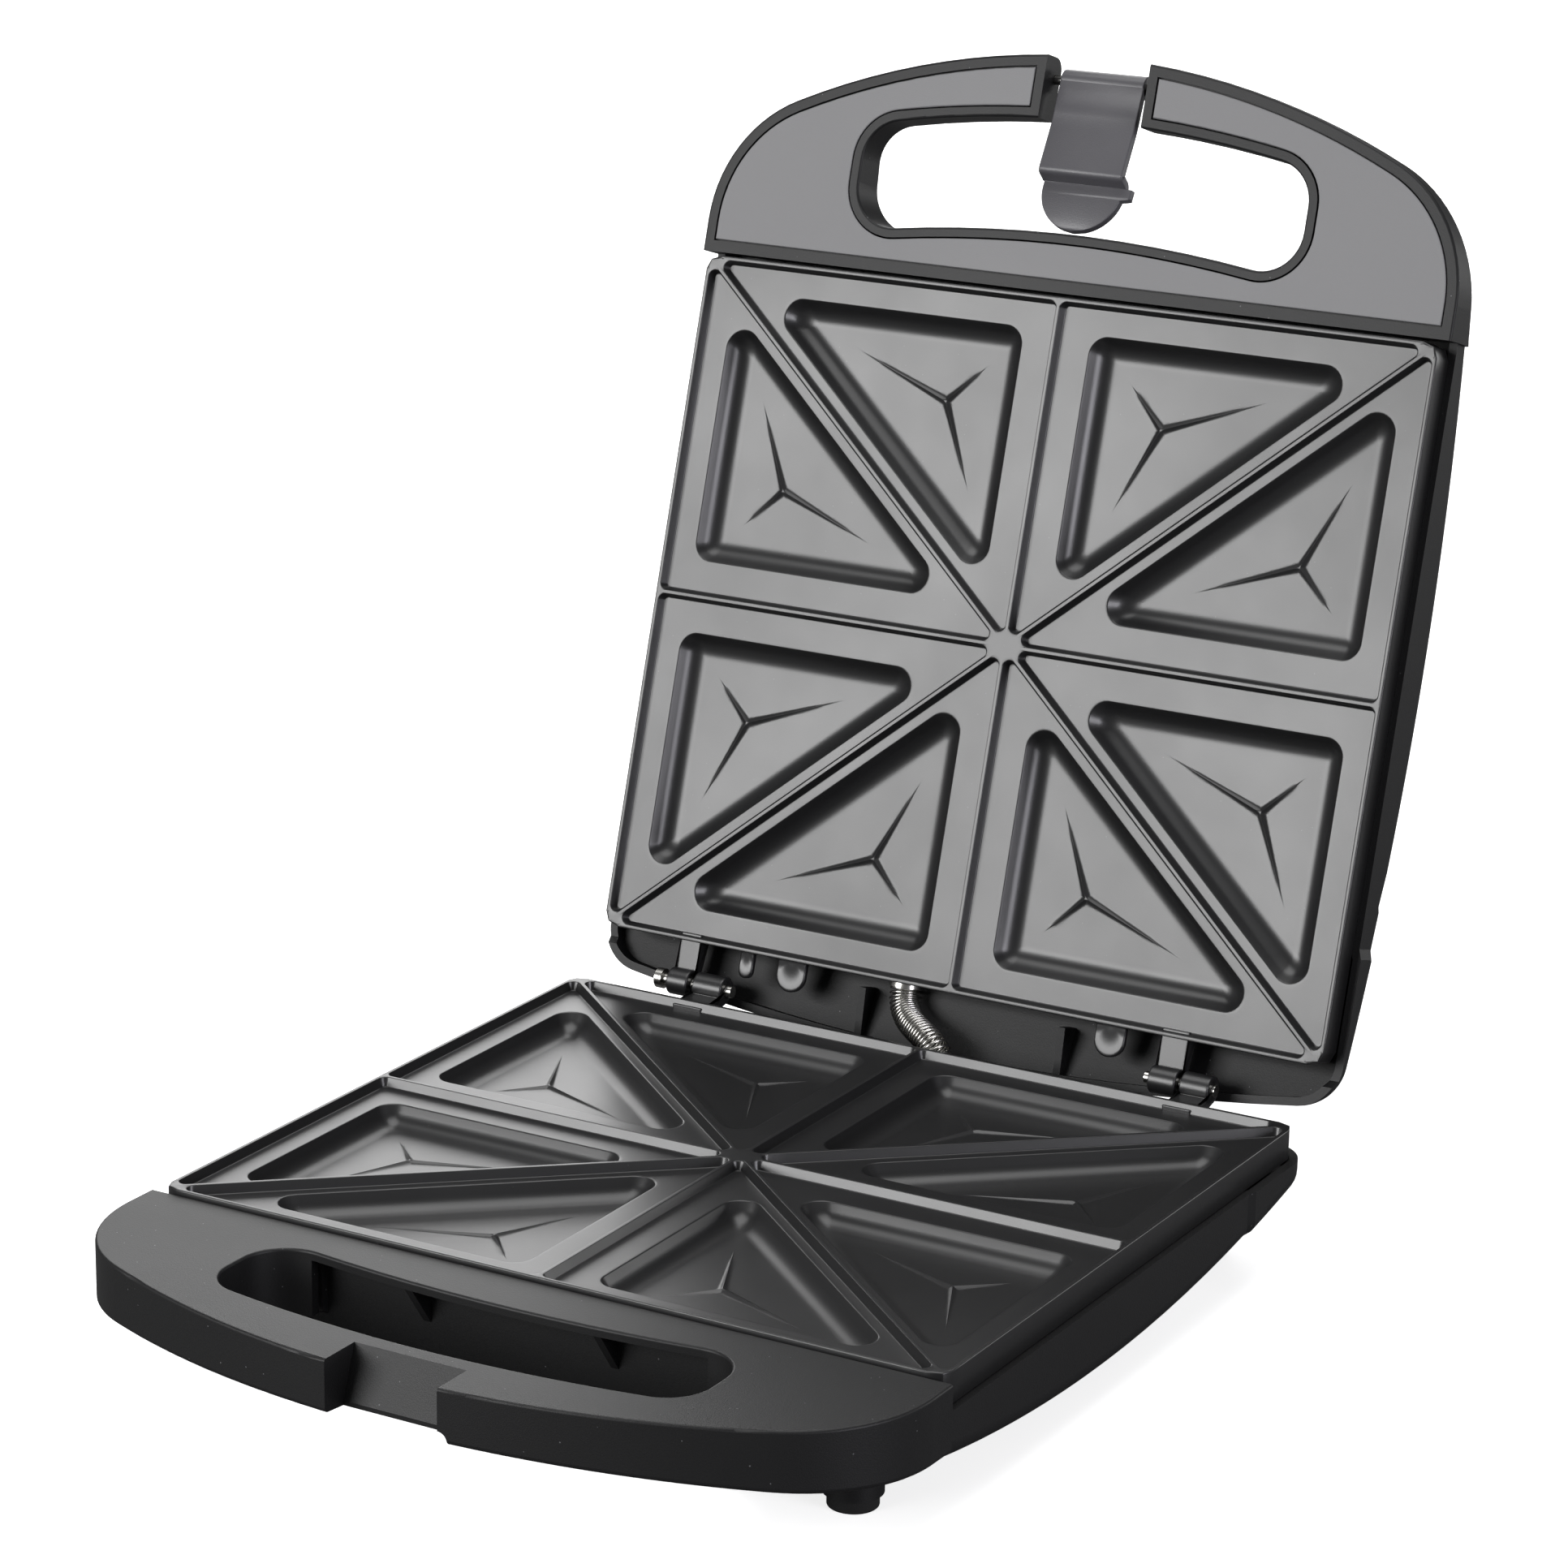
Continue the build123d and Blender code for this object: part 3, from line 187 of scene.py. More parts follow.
def rounded_line(points: np.ndarray, radii: np.ndarray, steps: int) -> np.ndarray:
    """Round the corners of a flat open line with tangent curves.

    Each corner becomes a quadratic curve that starts and ends at the corner's radius times
    the tangent of half its turn.

    Args:
        points: Array of shape (n, 2).
        radii: Radius at each inner point, array of shape (n - 2).
        steps: Spans of each rounded corner.

    Returns:
        Array of shape (m, 2).
    """
    points = np.asarray(points, float)
    before, corner, after = points[:-2], points[1:-1], points[2:]
    back = before - corner
    ahead = after - corner
    back /= np.linalg.norm(back, axis=1, keepdims=True)
    ahead /= np.linalg.norm(ahead, axis=1, keepdims=True)
    half_turn = np.arccos(np.clip(-(back * ahead).sum(1), -1, 1)) / 2
    reach = (np.asarray(radii) * np.tan(half_turn))[:, None]
    start, stop = corner + back * reach, corner + ahead * reach
    t = np.linspace(0, 1, steps + 1)[None, :, None]
    middle = 2 * corner[:, None] * t * (1 - t)
    curve = start[:, None] * (1 - t) ** 2 + middle + stop[:, None] * t**2
    return np.vstack([points[:1], curve.reshape(-1, 2), points[-1:]])


# --- Finishes -------------------------------------------------------------------------------


class Pattern(Enum):
    """Patterns of a finish, each a shader node group."""

    MOULDED = "moulded_grain"
    COATED = "coating_grain"
    DRAWN = "drawn_metal"


DRAWN_STRETCH = (0.05, 1.0, 1.0)
PATCH_SCALE = 14.0
PATCH_DETAIL = 4.0
PATCH_ROUGHNESS = 0.62
FLECK_SCALE = 620.0
FLECK_RADIUS = 0.13
FLECK_RARITY = 0.96


class NodeTree:
    """Small helper that adds and links shader nodes."""

    def __init__(self, tree: bpy.types.NodeTree) -> None:
        """Keep the tree that nodes are added to.

        Args:
            tree: A material's or a group's node tree.
        """
        self.tree = tree

    def add(self, kind: str, links: dict | None = None, **settings: object) -> bpy.types.Node:
        """Add a node, set its properties and sockets, and link its inputs.

        Args:
            kind: The node's type name.
            links: Input names or numbers, each with an output socket or a plain value.
            settings: Properties of the node.

        Returns:
            The new node.
        """
        node = self.tree.nodes.new(kind)
        for key, value in settings.items():
            setattr(node, key, value)
        for key, value in (links or {}).items():
            if isinstance(value, bpy.types.NodeSocket):
                self.tree.links.new(value, node.inputs[key])
            else:
                node.inputs[key].default_value = value
        return node


def grain_group(pattern: Pattern) -> bpy.types.NodeTree:
    """Make the shader group of a pattern, or return the one that exists.

    A moulded grain is the distance to random cell centres mixed with fine noise. A coating
    grain is two octaves of fine noise with sparse bright flecks. A drawn metal has fine
    scratches along X. All of them give a height, a slow patchiness and a mask of flecks.

    Args:
        pattern: The pattern.

    Returns:
        The node group, with inputs Place and Scale and outputs Height, Patches and Flecks.
    """
    found = bpy.data.node_groups.get(pattern.value)
    if found:
        return found
    group = bpy.data.node_groups.new(pattern.value, "ShaderNodeTree")
    face = group.interface
    face.new_socket("Place", in_out="INPUT", socket_type="NodeSocketVector")
    face.new_socket("Scale", in_out="INPUT", socket_type="NodeSocketFloat")
    for name in ("Height", "Patches", "Flecks"):
        face.new_socket(name, in_out="OUTPUT", socket_type="NodeSocketFloat")
    tree = NodeTree(group)
    source = tree.add("NodeGroupInput")
    place, scale = source.outputs["Place"], source.outputs["Scale"]
    if pattern is Pattern.DRAWN:
        stretch = tree.add(
            "ShaderNodeVectorMath", {0: place, 1: DRAWN_STRETCH}, operation="MULTIPLY"
        )
        place = stretch.outputs[0]
    noise = tree.add("ShaderNodeTexNoise", {"Vector": place, "Scale": scale, "Detail": 3.0})
    height = noise.outputs["Fac"]
    if pattern is Pattern.MOULDED:
        cells = tree.add(
            "ShaderNodeTexVoronoi", {"Vector": place, "Scale": scale}, feature="SMOOTH_F1"
        )
        height = tree.add(
            "ShaderNodeMath", {0: cells.outputs["Distance"], 1: height}, operation="ADD"
        ).outputs[0]
    slow = tree.add(
        "ShaderNodeTexNoise",
        {
            "Vector": place,
            "Scale": PATCH_SCALE,
            "Detail": PATCH_DETAIL,
            "Roughness": PATCH_ROUGHNESS,
        },
    )
    specks = tree.add(
        "ShaderNodeTexVoronoi", {"Vector": place, "Scale": FLECK_SCALE, "Randomness": 1.0}
    )
    near = tree.add(
        "ShaderNodeMath",
        {0: specks.outputs["Distance"], 1: FLECK_RADIUS},
        operation="LESS_THAN",
    )
    rare = tree.add("ShaderNodeSeparateColor", {"Color": specks.outputs["Color"]})
    chosen = tree.add(
        "ShaderNodeMath", {0: rare.outputs[0], 1: FLECK_RARITY}, operation="GREATER_THAN"
    )
    flecks = tree.add(
        "ShaderNodeMath", {0: near.outputs[0], 1: chosen.outputs[0]}, operation="MULTIPLY"
    )
    tree.add(
        "NodeGroupOutput",
        {"Height": height, "Patches": slow.outputs["Fac"], "Flecks": flecks.outputs[0]},
    )
    return group


@dataclass(frozen=True)
class Finish:
    """An opaque finish: a base colour, a roughness range and a fine pattern."""

    name: str
    colour: tuple[float, float, float]
    roughness: float
    pattern: Pattern = Pattern.MOULDED
    metallic: float = 0.0
    specular: float = 0.5
    grain_scale: float = 2600.0
    grain_depth: float = 0.02
    patchiness: float = 0.06
    shade_spread: float = 0.12
    fleck_colour: tuple[float, float, float] = (0.25, 0.25, 0.26)
    fleck_share: float = 0.35

    def material(self) -> bpy.types.Material:
        """Make the finish's material, or return the one that exists.

        Returns:
            The material.
        """
        found = bpy.data.materials.get(self.name)
        if found:
            return found
        material = bpy.data.materials.new(self.name)
        material.use_nodes = True
        tree = NodeTree(material.node_tree)
        shader = material.node_tree.nodes["Principled BSDF"]
        shader.inputs["Metallic"].default_value = self.metallic
        shader.inputs["Specular IOR Level"].default_value = self.specular
        place = tree.add("ShaderNodeTexCoord").outputs["Object"]
        grain = tree.add("ShaderNodeGroup", node_tree=grain_group(self.pattern))
        grain.inputs["Scale"].default_value = self.grain_scale
        tree.tree.links.new(place, grain.inputs["Place"])
        patches = grain.outputs["Patches"]
        roughness = tree.add(
            "ShaderNodeMapRange",
            {
                "Value": patches,
                "From Min": 0.3,
                "From Max": 0.7,
                "To Min": self.roughness - self.patchiness,
                "To Max": self.roughness + self.patchiness,
            },
        )
        tree.tree.links.new(roughness.outputs[0], shader.inputs["Roughness"])
        dark = tuple(channel * (1 - self.shade_spread) for channel in self.colour)
        light = tuple(min(1.0, channel * (1 + self.shade_spread)) for channel in self.colour)
        shade = tree.add(
            "ShaderNodeMix", {0: patches, 6: (*dark, 1), 7: (*light, 1)}, data_type="RGBA"
        )
        share = tree.add(
            "ShaderNodeMath", {0: grain.outputs["Flecks"], 1: self.fleck_share}, operation="MULTIPLY"
        )
        flecked = tree.add(
            "ShaderNodeMix",
            {0: share.outputs[0], 6: shade.outputs[2], 7: (*self.fleck_colour, 1)},
            data_type="RGBA",
        )
        tree.tree.links.new(flecked.outputs[2], shader.inputs["Base Color"])
        bump = tree.add(
            "ShaderNodeBump",
            {"Strength": self.grain_depth, "Distance": 0.001, "Height": grain.outputs["Height"]},
        )
        tree.tree.links.new(bump.outputs[0], shader.inputs["Normal"])
        return material


@dataclass(frozen=True)
class ClearFinish:
    """A clear finish, tinted all through."""

    name: str
    colour: tuple[float, float, float]
    roughness: float = 0.08
    transmission: float = 0.6

    def material(self) -> bpy.types.Material:
        """Make the finish's material, or return the one that exists.

        Returns:
            The material.
        """
        found = bpy.data.materials.get(self.name)
        if found:
            return found
        material = bpy.data.materials.new(self.name)
        material.use_nodes = True
        shader = material.node_tree.nodes["Principled BSDF"]
        shader.inputs["Base Color"].default_value = (*self.colour, 1)
        shader.inputs["Roughness"].default_value = self.roughness
        shader.inputs["Transmission Weight"].default_value = self.transmission
        return material


COATING = Finish(
    "plate_coating",
    (0.013, 0.013, 0.0136),
    0.34,
    Pattern.COATED,
    specular=0.75,
    grain_scale=2400,
    grain_depth=0.02,
    patchiness=0.03,
    fleck_share=0.10,
)
FINISHES: dict[str, Finish | ClearFinish] = {
    "body_plastic": Finish(
        "black_grained_plastic",
        (0.010, 0.010, 0.0105),
        0.48,
        specular=0.36,
        grain_depth=0.05,
        patchiness=0.012,
        fleck_share=0.45,
    ),
    "handle_panel": Finish(
        "satin_grey_panel",
        (0.225, 0.224, 0.230),
        0.50,
        specular=0.32,
        grain_depth=0.05,
        fleck_share=0.05,
    ),
    "latch_plastic": Finish(
        "satin_grey_latch",
        (0.078, 0.076, 0.085),
        0.42,
        specular=0.7,
        grain_depth=0.06,
        fleck_share=0.05,
    ),
    "lower_coating": COATING,
    "upper_coating": COATING,
    "steel": Finish(
        "bright_steel",
        (0.62, 0.61, 0.58),
        0.22,
        Pattern.DRAWN,
        1.0,
        grain_scale=900,
        fleck_share=0.0,
    ),
    "heater_sheath": Finish(
        "heated_steel_tube",
        (0.27, 0.24, 0.21),
        0.42,
        Pattern.DRAWN,
        1.0,
        grain_scale=700,
        fleck_share=0.0,
    ),
    "reflector": Finish(
        "rolled_aluminium",
        (0.72, 0.72, 0.73),
        0.30,
        Pattern.DRAWN,
        1.0,
        grain_scale=500,
        fleck_share=0.0,
    ),
    "rubber": Finish(
        "black_rubber",
        (0.014, 0.014, 0.014),
        0.72,
        specular=0.3,
        grain_depth=0.08,
        fleck_share=0.3,
    ),
    "terminal_plastic": Finish("cream_plastic", (0.62, 0.58, 0.46), 0.45, fleck_share=0.0),
    "thermostat_ceramic": Finish("off_white_ceramic", (0.58, 0.54, 0.46), 0.35, fleck_share=0.0),
    "red_lens": ClearFinish("clear_red_plastic", (0.55, 0.02, 0.015)),
    "green_lens": ClearFinish("clear_green_plastic", (0.03, 0.40, 0.08)),
    "lamp_glass": ClearFinish("clear_glass", (0.95, 0.92, 0.88), 0.03, 0.9),
}


def dress(piece: bpy.types.Object, body: str, slot: str, *nodes: str) -> None:
    """Give a piece its finish, its body and the nodes that it stands for.

    Args:
        piece: The piece.
        body: The body that it rides on.
        slot: The material slot of the record that its finish belongs to.
        nodes: The nodes of the frame that it replaces.
    """
    piece.data.materials.append(FINISHES[slot].material())
    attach(piece, body)
    if nodes:
        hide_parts(*nodes)
    log.info("%s: %d faces", piece.name, len(piece.data.polygons))


class FramePieces:
    """The nodes of the frame that keep their own shape and only get a finish."""

    def build(self) -> None:
        """Give each node of the frame the finish of its material slot."""
        slots = {part["node"]: part["material_slot"] for part in frame["record"]["subparts"]}
        for name, node in frame["nodes"].items():
            material = FINISHES[slots[name]].material()
            for slot in node.material_slots:
                slot.material = material
        log.info("%d frame nodes dressed", len(slots))


# --- Plates ---------------------------------------------------------------------------------


@dataclass
class CookingPlate:
    """A cooking plate: eight triangular cells between ribs, each with a pressed pocket."""

    half: Half
    width: float = 250.0
    depth: float = 215.7
    corner: float = 4.6
    skirt: float = 9.5
    edge_round: float = 0.35
    rib_crest: float = 0.58
    rim_crest: float = 1.25
    rib_foot: float = 1.55
    rib_round: float = 0.3
    cell_drop: float = 2.8
    crest_corner: float = 2.4
    foot_corner: float = 1.3
    pocket_drop: float = 5.7
    wall_angle: float = 60.0
    wall_fillet: float = 7.0
    pocket_corner: float = 6.0
    pocket_margins: tuple[float, float, float] = (11.6, 10.3, 4.8)
    lip_round: float = 0.55
    flat_step: float = 0.5
    round_steps: int = 6
    lip_start: float = 0.9
    crease_reach: float = 0.475
    crease_waist: float = 1.25
    crease_height: float = 0.75
    least_corner: float = 0.02
    foot_soften: float = 1.5
    corner_shrink: float = 0.8
    least_pocket_corner: float = 0.6
    fillet_points: int = 13
    behind_centre: float = -0.01
    skirt_soft: float = 0.3
    arc_points: int = 11
    side_points: int = 23
    floor_rings: int = 26
    eye_radius: float = 4.3
    bore_radius: float = 1.95
    lug_root: float = 105.4
    lug_face: float = 1.4
    lug_low: float = -7.6
    lug_soft: float = 0.45
    tab_face: float = -0.4
    tab_low: float = -2.4
    tab_soft: float = 0.25
    knuckles: tuple[tuple[float, float], ...] = ()
    tabs: tuple[tuple[float, float, float], ...] = ()

    def cell_corners(self) -> np.ndarray:
        """Corners of the eight cells: plate centre, middle of an edge, corner of the plate.

        The cells come in order round the plate.

        Returns:
            Array of shape (8, 3, 2).
        """
        corners = np.array([[1, 1], [-1, 1], [-1, -1], [1, -1]]) * [self.width / 2, self.depth / 2]
        centre = np.zeros_like(corners)
        side_cells = np.stack([centre, corners * [1, 0], corners], 1)
        end_cells = np.stack([centre, corners * [0, 1], corners], 1)
        both = np.stack([side_cells, end_cells])
        kind, number = np.array([(0, 0), (1, 0), (1, 1), (0, 1), (0, 2), (1, 2), (1, 3), (0, 3)]).T
        return both[kind, number]

    def ring_profile(self) -> tuple[np.ndarray, np.ndarray, np.ndarray]:
        """Rings from the ribs' crests to the pocket floor.

        The rib's side and the pocket's lip are rounded lines. The pocket wall is straight at
        first and then turns level in an arc.

        Returns:
            Insets of each ring from the three sides, corner radii, and heights.
        """
        beyond = self.rib_foot + self.flat_step
        rib = rounded_line(
            [
                (0, 0),
                (self.rib_crest, 0),
                (self.rib_foot, -self.cell_drop),
                (beyond, -self.cell_drop),
            ],
            [self.rib_round, self.rib_round * self.foot_soften],
            self.round_steps,
        )
        rim_extra = np.array([0, self.rim_crest - self.rib_crest, 0])
        rib_insets = rib[:, :1] + rim_extra * np.minimum(rib[:, :1] / self.rib_crest, 1)
        corner_at = [0, self.rib_crest, self.rib_foot]
        corner_is = [self.least_corner, self.crest_corner, self.foot_corner]
        rib_corner = np.interp(rib[:, 0], corner_at, corner_is)
        steep = math.radians(self.wall_angle)
        arc_drop = self.wall_fillet * (1 - math.cos(steep))
        straight_drop = self.pocket_drop - arc_drop
        straight_run = straight_drop / math.tan(steep)
        turn = np.linspace(steep, 0, self.fillet_points)
        arc_in = straight_run + self.wall_fillet * (math.sin(steep) - np.sin(turn))
        arc_down = -self.pocket_drop + self.wall_fillet * (1 - np.cos(turn))
        lip = rounded_line(
            [(-self.lip_start, 0), (0, 0), (straight_run, -straight_drop)],
            [self.lip_round],
            self.round_steps,
        )
        inward = np.concatenate([lip[:-1, 0], arc_in])
        heights = np.concatenate([lip[:-1, 1], arc_down]) - self.cell_drop
        pocket_insets = np.array(self.pocket_margins) + inward[:, None]
        shrunk = self.pocket_corner - np.maximum(inward, 0) * self.corner_shrink
        pocket_corner = np.maximum(shrunk, self.least_pocket_corner)
        insets = np.vstack([rib_insets, pocket_insets])
        corners = np.concatenate([rib_corner, pocket_corner])
        return insets, corners, np.concatenate([rib[:, 1], heights])

    def ring_points(self, corners: np.ndarray, insets: np.ndarray, rounds: np.ndarray) -> np.ndarray:
        """Points of inset triangles with rounded corners.

        Each corner is an arc that touches both sides, and each side is a straight run of
        points between two arcs.

        Args:
            corners: The cell's corners, array of shape (3, 2).
            insets: Insets from the three sides, array of shape (rings, 3).
            rounds: Corner radii, array of shape (rings).

        Returns:
            Array of shape (rings, points, 2).
        """
        along = np.roll(corners, -1, 0) - corners
        along /= np.linalg.norm(along, axis=1, keepdims=True)
        normal = np.stack([-along[:, 1], along[:, 0]], -1)
        normal *= np.sign(((corners.mean(0) - corners) * normal).sum(1))[:, None]
        reach = (corners * normal).sum(1) + insets
        before, after = np.roll(normal, 1, 0), normal
        reach_before = np.roll(reach, 1, 1)
        cross = before[:, 0] * after[:, 1] - before[:, 1] * after[:, 0]
        sharp = np.stack(
            [
                (reach_before * after[:, 1] - reach * before[:, 1]) / cross,
                (before[:, 0] * reach - after[:, 0] * reach_before) / cross,
            ],
            -1,
        )
        bisector = before + after
        bisector /= (bisector * after).sum(1, keepdims=True)
        middle = sharp + bisector * rounds[:, None, None]
        first = np.arctan2(-before[:, 1], -before[:, 0])
        sweep = np.arctan2(-after[:, 1], -after[:, 0]) - first
        sweep = (sweep + math.pi) % (2 * math.pi) - math.pi
        angles = first[:, None] + sweep[:, None] * np.linspace(0, 1, self.arc_points)
        arc = np.stack([np.cos(angles), np.sin(angles)], -1)
        arcs = middle[:, :, None] + arc * rounds[:, None, None, None]
        share = np.linspace(0, 1, self.side_points + 2)[1:-1, None]
        start, stop = arcs[:, :, -1:], np.roll(arcs, -1, 1)[:, :, :1]
        sides = start * (1 - share) + stop * share
        return np.concatenate([arcs, sides], 2).reshape(len(rounds), -1, 2)

    def crease(self, points: np.ndarray, centre: np.ndarray, tips: np.ndarray) -> np.ndarray:
        """Height of the three-armed crease above the pocket floor.

        Along an arm the ridge sinks evenly from the centre to the tip, and to each side it
        falls away as a roof whose width shrinks in the same way.

        Args:
            points: Array of shape (..., 2).
            centre: Middle of the crease.
            tips: The three tips, array of shape (3, 2).

        Returns:
            Heights, array of shape (...).
        """
        arms = tips - centre
        length = np.linalg.norm(arms, axis=1)
        along = arms / length[:, None]
        away = points[..., None, :] - centre
        far = (away * along).sum(-1)
        side = np.abs(away[..., 0] * along[:, 1] - away[..., 1] * along[:, 0])
        roof = 1 - far / length - side / self.crease_waist
        ridge = np.where(far < self.behind_centre, -1, roof).max(-1)
        return self.crease_height * np.clip(ridge, 0, 1)

    def cell(self, corners: np.ndarray) -> np.ndarray:
        """Surface of one cell, from the crests round it to the middle of its pocket.

        The floor's rings shrink evenly to the crease's centre.

        Args:
            corners: The cell's corners, array of shape (3, 2).

        Returns:
            Array of shape (rings, points, 3) in the half frame.
        """
        insets, rounds, heights = self.ring_profile()
        rings = self.ring_points(corners, insets, rounds)
        sharp = self.ring_points(corners, np.array([self.pocket_margins]), np.array([1e-6]))[0]
        tips = sharp[np.arange(3) * (self.arc_points + self.side_points) + self.arc_points // 2]
        opposite = np.linalg.norm(np.roll(tips, -1, 0) - np.roll(tips, 1, 0), axis=1)
        centre = (tips * opposite[:, None]).sum(0) / opposite.sum()
        ends = centre + self.crease_reach * (tips - centre)
        share = np.linspace(1, 0, self.floor_rings + 1)[1:, None, None]
        floor = centre + (rings[-1] - centre) * share
        low = np.full(floor.shape[:2], heights[-1]) + self.crease(floor, centre, ends)
        upper = np.dstack([rings, np.repeat(heights[:, None], rings.shape[1], 1)])
        return np.concatenate([upper, np.dstack([floor, low])])

    def round_corners(self, points: np.ndarray, inset: float) -> np.ndarray:
        """Draw points that lie beyond the plate's rounded corners in to its outline.

        Args:
            points: Array of shape (..., 3).
            inset: How far the outline lies inside the plate's edge.

        Returns:
            The moved points.
        """
        limit = np.array([self.width, self.depth]) / 2 - self.corner
        beyond = np.maximum(np.abs(points[..., :2]) - limit, 0)
        reach = np.linalg.norm(beyond, axis=-1, keepdims=True)
        allowed = self.corner - inset
        shrink = np.where(reach > allowed, allowed / np.maximum(reach, 1e-9), 1)
        inner = np.minimum(np.abs(points[..., :2]), limit)
        flat = np.sign(points[..., :2]) * (inner + beyond * shrink)
        return np.concatenate([flat, points[..., 2:]], -1)

    def edge(self, cells: list[np.ndarray]) -> np.ndarray:
        """The plate's edge, read from the cells in order round the plate.

        Args:
            cells: The eight cell surfaces, in the order of cell_corners.

        Returns:
            Array of shape (points, 3).
        """
        side = self.arc_points + self.side_points
        first = side + self.arc_points // 2
        run = np.arange(first, first + side + 1)
        edges = [cell[0, run] for cell in cells]
        turned = [edge if number % 2 == 0 else edge[::-1] for number, edge in enumerate(edges)]
        return np.concatenate([edge[:-1] for edge in turned])

    def wall(self, edge: np.ndarray) -> np.ndarray:
        """Rounded edge, skirt and underside, as rings that follow the plate's edge.

        Args:
            edge: The plate's edge, array of shape (points, 3).

        Returns:
            Array of shape (rings, points, 3).
        """
        limit = np.array([self.width, self.depth]) / 2 - self.corner
        outward = np.sign(edge[:, :2]) * np.maximum(np.abs(edge[:, :2]) - limit, 0)
        outward /= np.linalg.norm(outward, axis=1, keepdims=True)
        turn = np.linspace(0, QUARTER, 5)
        soft, side = self.skirt_soft, self.edge_round
        out = np.concatenate([side * np.sin(turn), [side, side - soft, 0]])
        foot = [self.skirt - soft, self.skirt, self.skirt]
        down = np.concatenate([side * (1 - np.cos(turn)), foot])
        rings = np.repeat(edge[None], len(out), 0)
        rings[..., :2] += outward * out[:, None, None]
        rings[..., 2] -= down[:, None]
        rings[-1, :, :2] = 0
        return rings

    def knuckle(self, span: tuple[float, float]) -> np.ndarray:
        """A hinge lug: a flat strap that ends in a round eye, carried along x.

        The outline runs round the eye from the strap's underside to its flat face, along the
        face to the plate, and back along the underside, which touches the eye. Every point
        has its outward normal, and both ends are rounded by drawing the points in along it.

        Args:
            span: The lug's ends along x.

        Returns:
            Grid of points in the half frame.
        """
        eye, root = self.eye_radius, self.lug_root - HINGE.y
        slope = math.atan2(-self.lug_low, -root)
        under = math.pi + slope + math.acos(eye / math.hypot(root, self.lug_low))
        face = 3 * math.pi + math.asin(self.lug_face / eye)
        turn = np.linspace(under, face, 72)
        ring = np.stack([np.cos(turn), np.sin(turn)], -1)
        ends = np.array([0.02, 0.06, 0.5, 0.94, 0.98])[:, None]
        corners = np.array(
            [ring[-1] * eye, [root, -self.lug_face], [root, self.lug_low], ring[0] * eye]
        )
        sides = corners[:-1, None] * (1 - ends) + corners[1:, None] * ends
        ways = np.repeat([[0.0, 1.0], [-1.0, 0.0], ring[0]], len(ends), 0)
        outline = np.vstack([ring * eye, sides.reshape(-1, 2)])
        normal = np.vstack([ring, ways])
        bend = np.linspace(0, QUARTER, 5)
        shrink = np.concatenate([self.lug_soft * (1 - np.sin(bend)), [0]])
        inward = np.concatenate([self.lug_soft * (1 - np.cos(bend)), [2 * self.lug_soft]])
        low, high = sorted(span)
        x = np.concatenate([[low], low + inward, high - inward[::-1], [high, low]])
        outer = outline - normal * np.concatenate([shrink, shrink[::-1]])[:, None, None]
        bore = outline / np.linalg.norm(outline, axis=1, keepdims=True) * self.bore_radius
        place = np.concatenate([bore[None], outer, bore[None], bore[None]])
        return np.dstack([np.repeat(x[:, None], len(outline), 1), place + [HINGE.y, 0]])

    def tab(self, x: float, width: float, reach: float) -> np.ndarray:
        """A flat tab with a rounded end behind the plate's edge.

        The outline runs back along one side, round the end as half a circle, and forward
        along the other side.

        Args:
            x: The tab's middle.
            width: Its width.
            reach: How far back it reaches.

        Returns:
            Grid of points in the half frame.
        """
        start = self.depth / 2 - 1
        turn = np.linspace(0, math.pi, 25)
        round_y = reach - width / 2 + np.sin(turn) * width / 2
        outline = np.stack([np.cos(turn) * width / 2, round_y - start], -1)
        outline = np.vstack([[width / 2, 0], outline, [-width / 2, 0]])
        draw_in = np.array([width / 2, 2 * self.tab_soft, self.tab_soft, 0])
        scale = 1 - 2 * np.concatenate([draw_in, draw_in[::-1]]) / width
        face = self.tab_face - np.array([0, 0, 0, self.tab_soft])
        low = self.tab_low + np.array([self.tab_soft, 0, 0, 0])
        heights = np.concatenate([face, low])
        place = outline[None] * scale[:, None, None] + [x, start]
        return np.dstack([place, np.repeat(heights[:, None], len(outline), 1)])

    def build(self, name: str, node: str) -> None:
        """Make the plate: cells above, rounded rim, skirt and underside, lugs and tabs.

        Args:
            name: Name of the piece.
            node: The node that it replaces.
        """
        cells = [
            self.round_corners(self.cell(corners), self.edge_round)
            for corners in self.cell_corners()
        ]
        grids = [*cells, self.wall(self.edge(cells))]
        grids += [self.knuckle(span) for span in self.knuckles]
        grids += [self.tab(*tab) for tab in self.tabs]
        patches = [Patch(HINGE.place(grid, self.half)) for grid in grids]
        slot = "lower_coating" if self.half is Half.BASE else "upper_coating"
        dress(build_mesh(name, patches), self.half.value, slot, node)


# --- Latch ----------------------------------------------------------------------------------


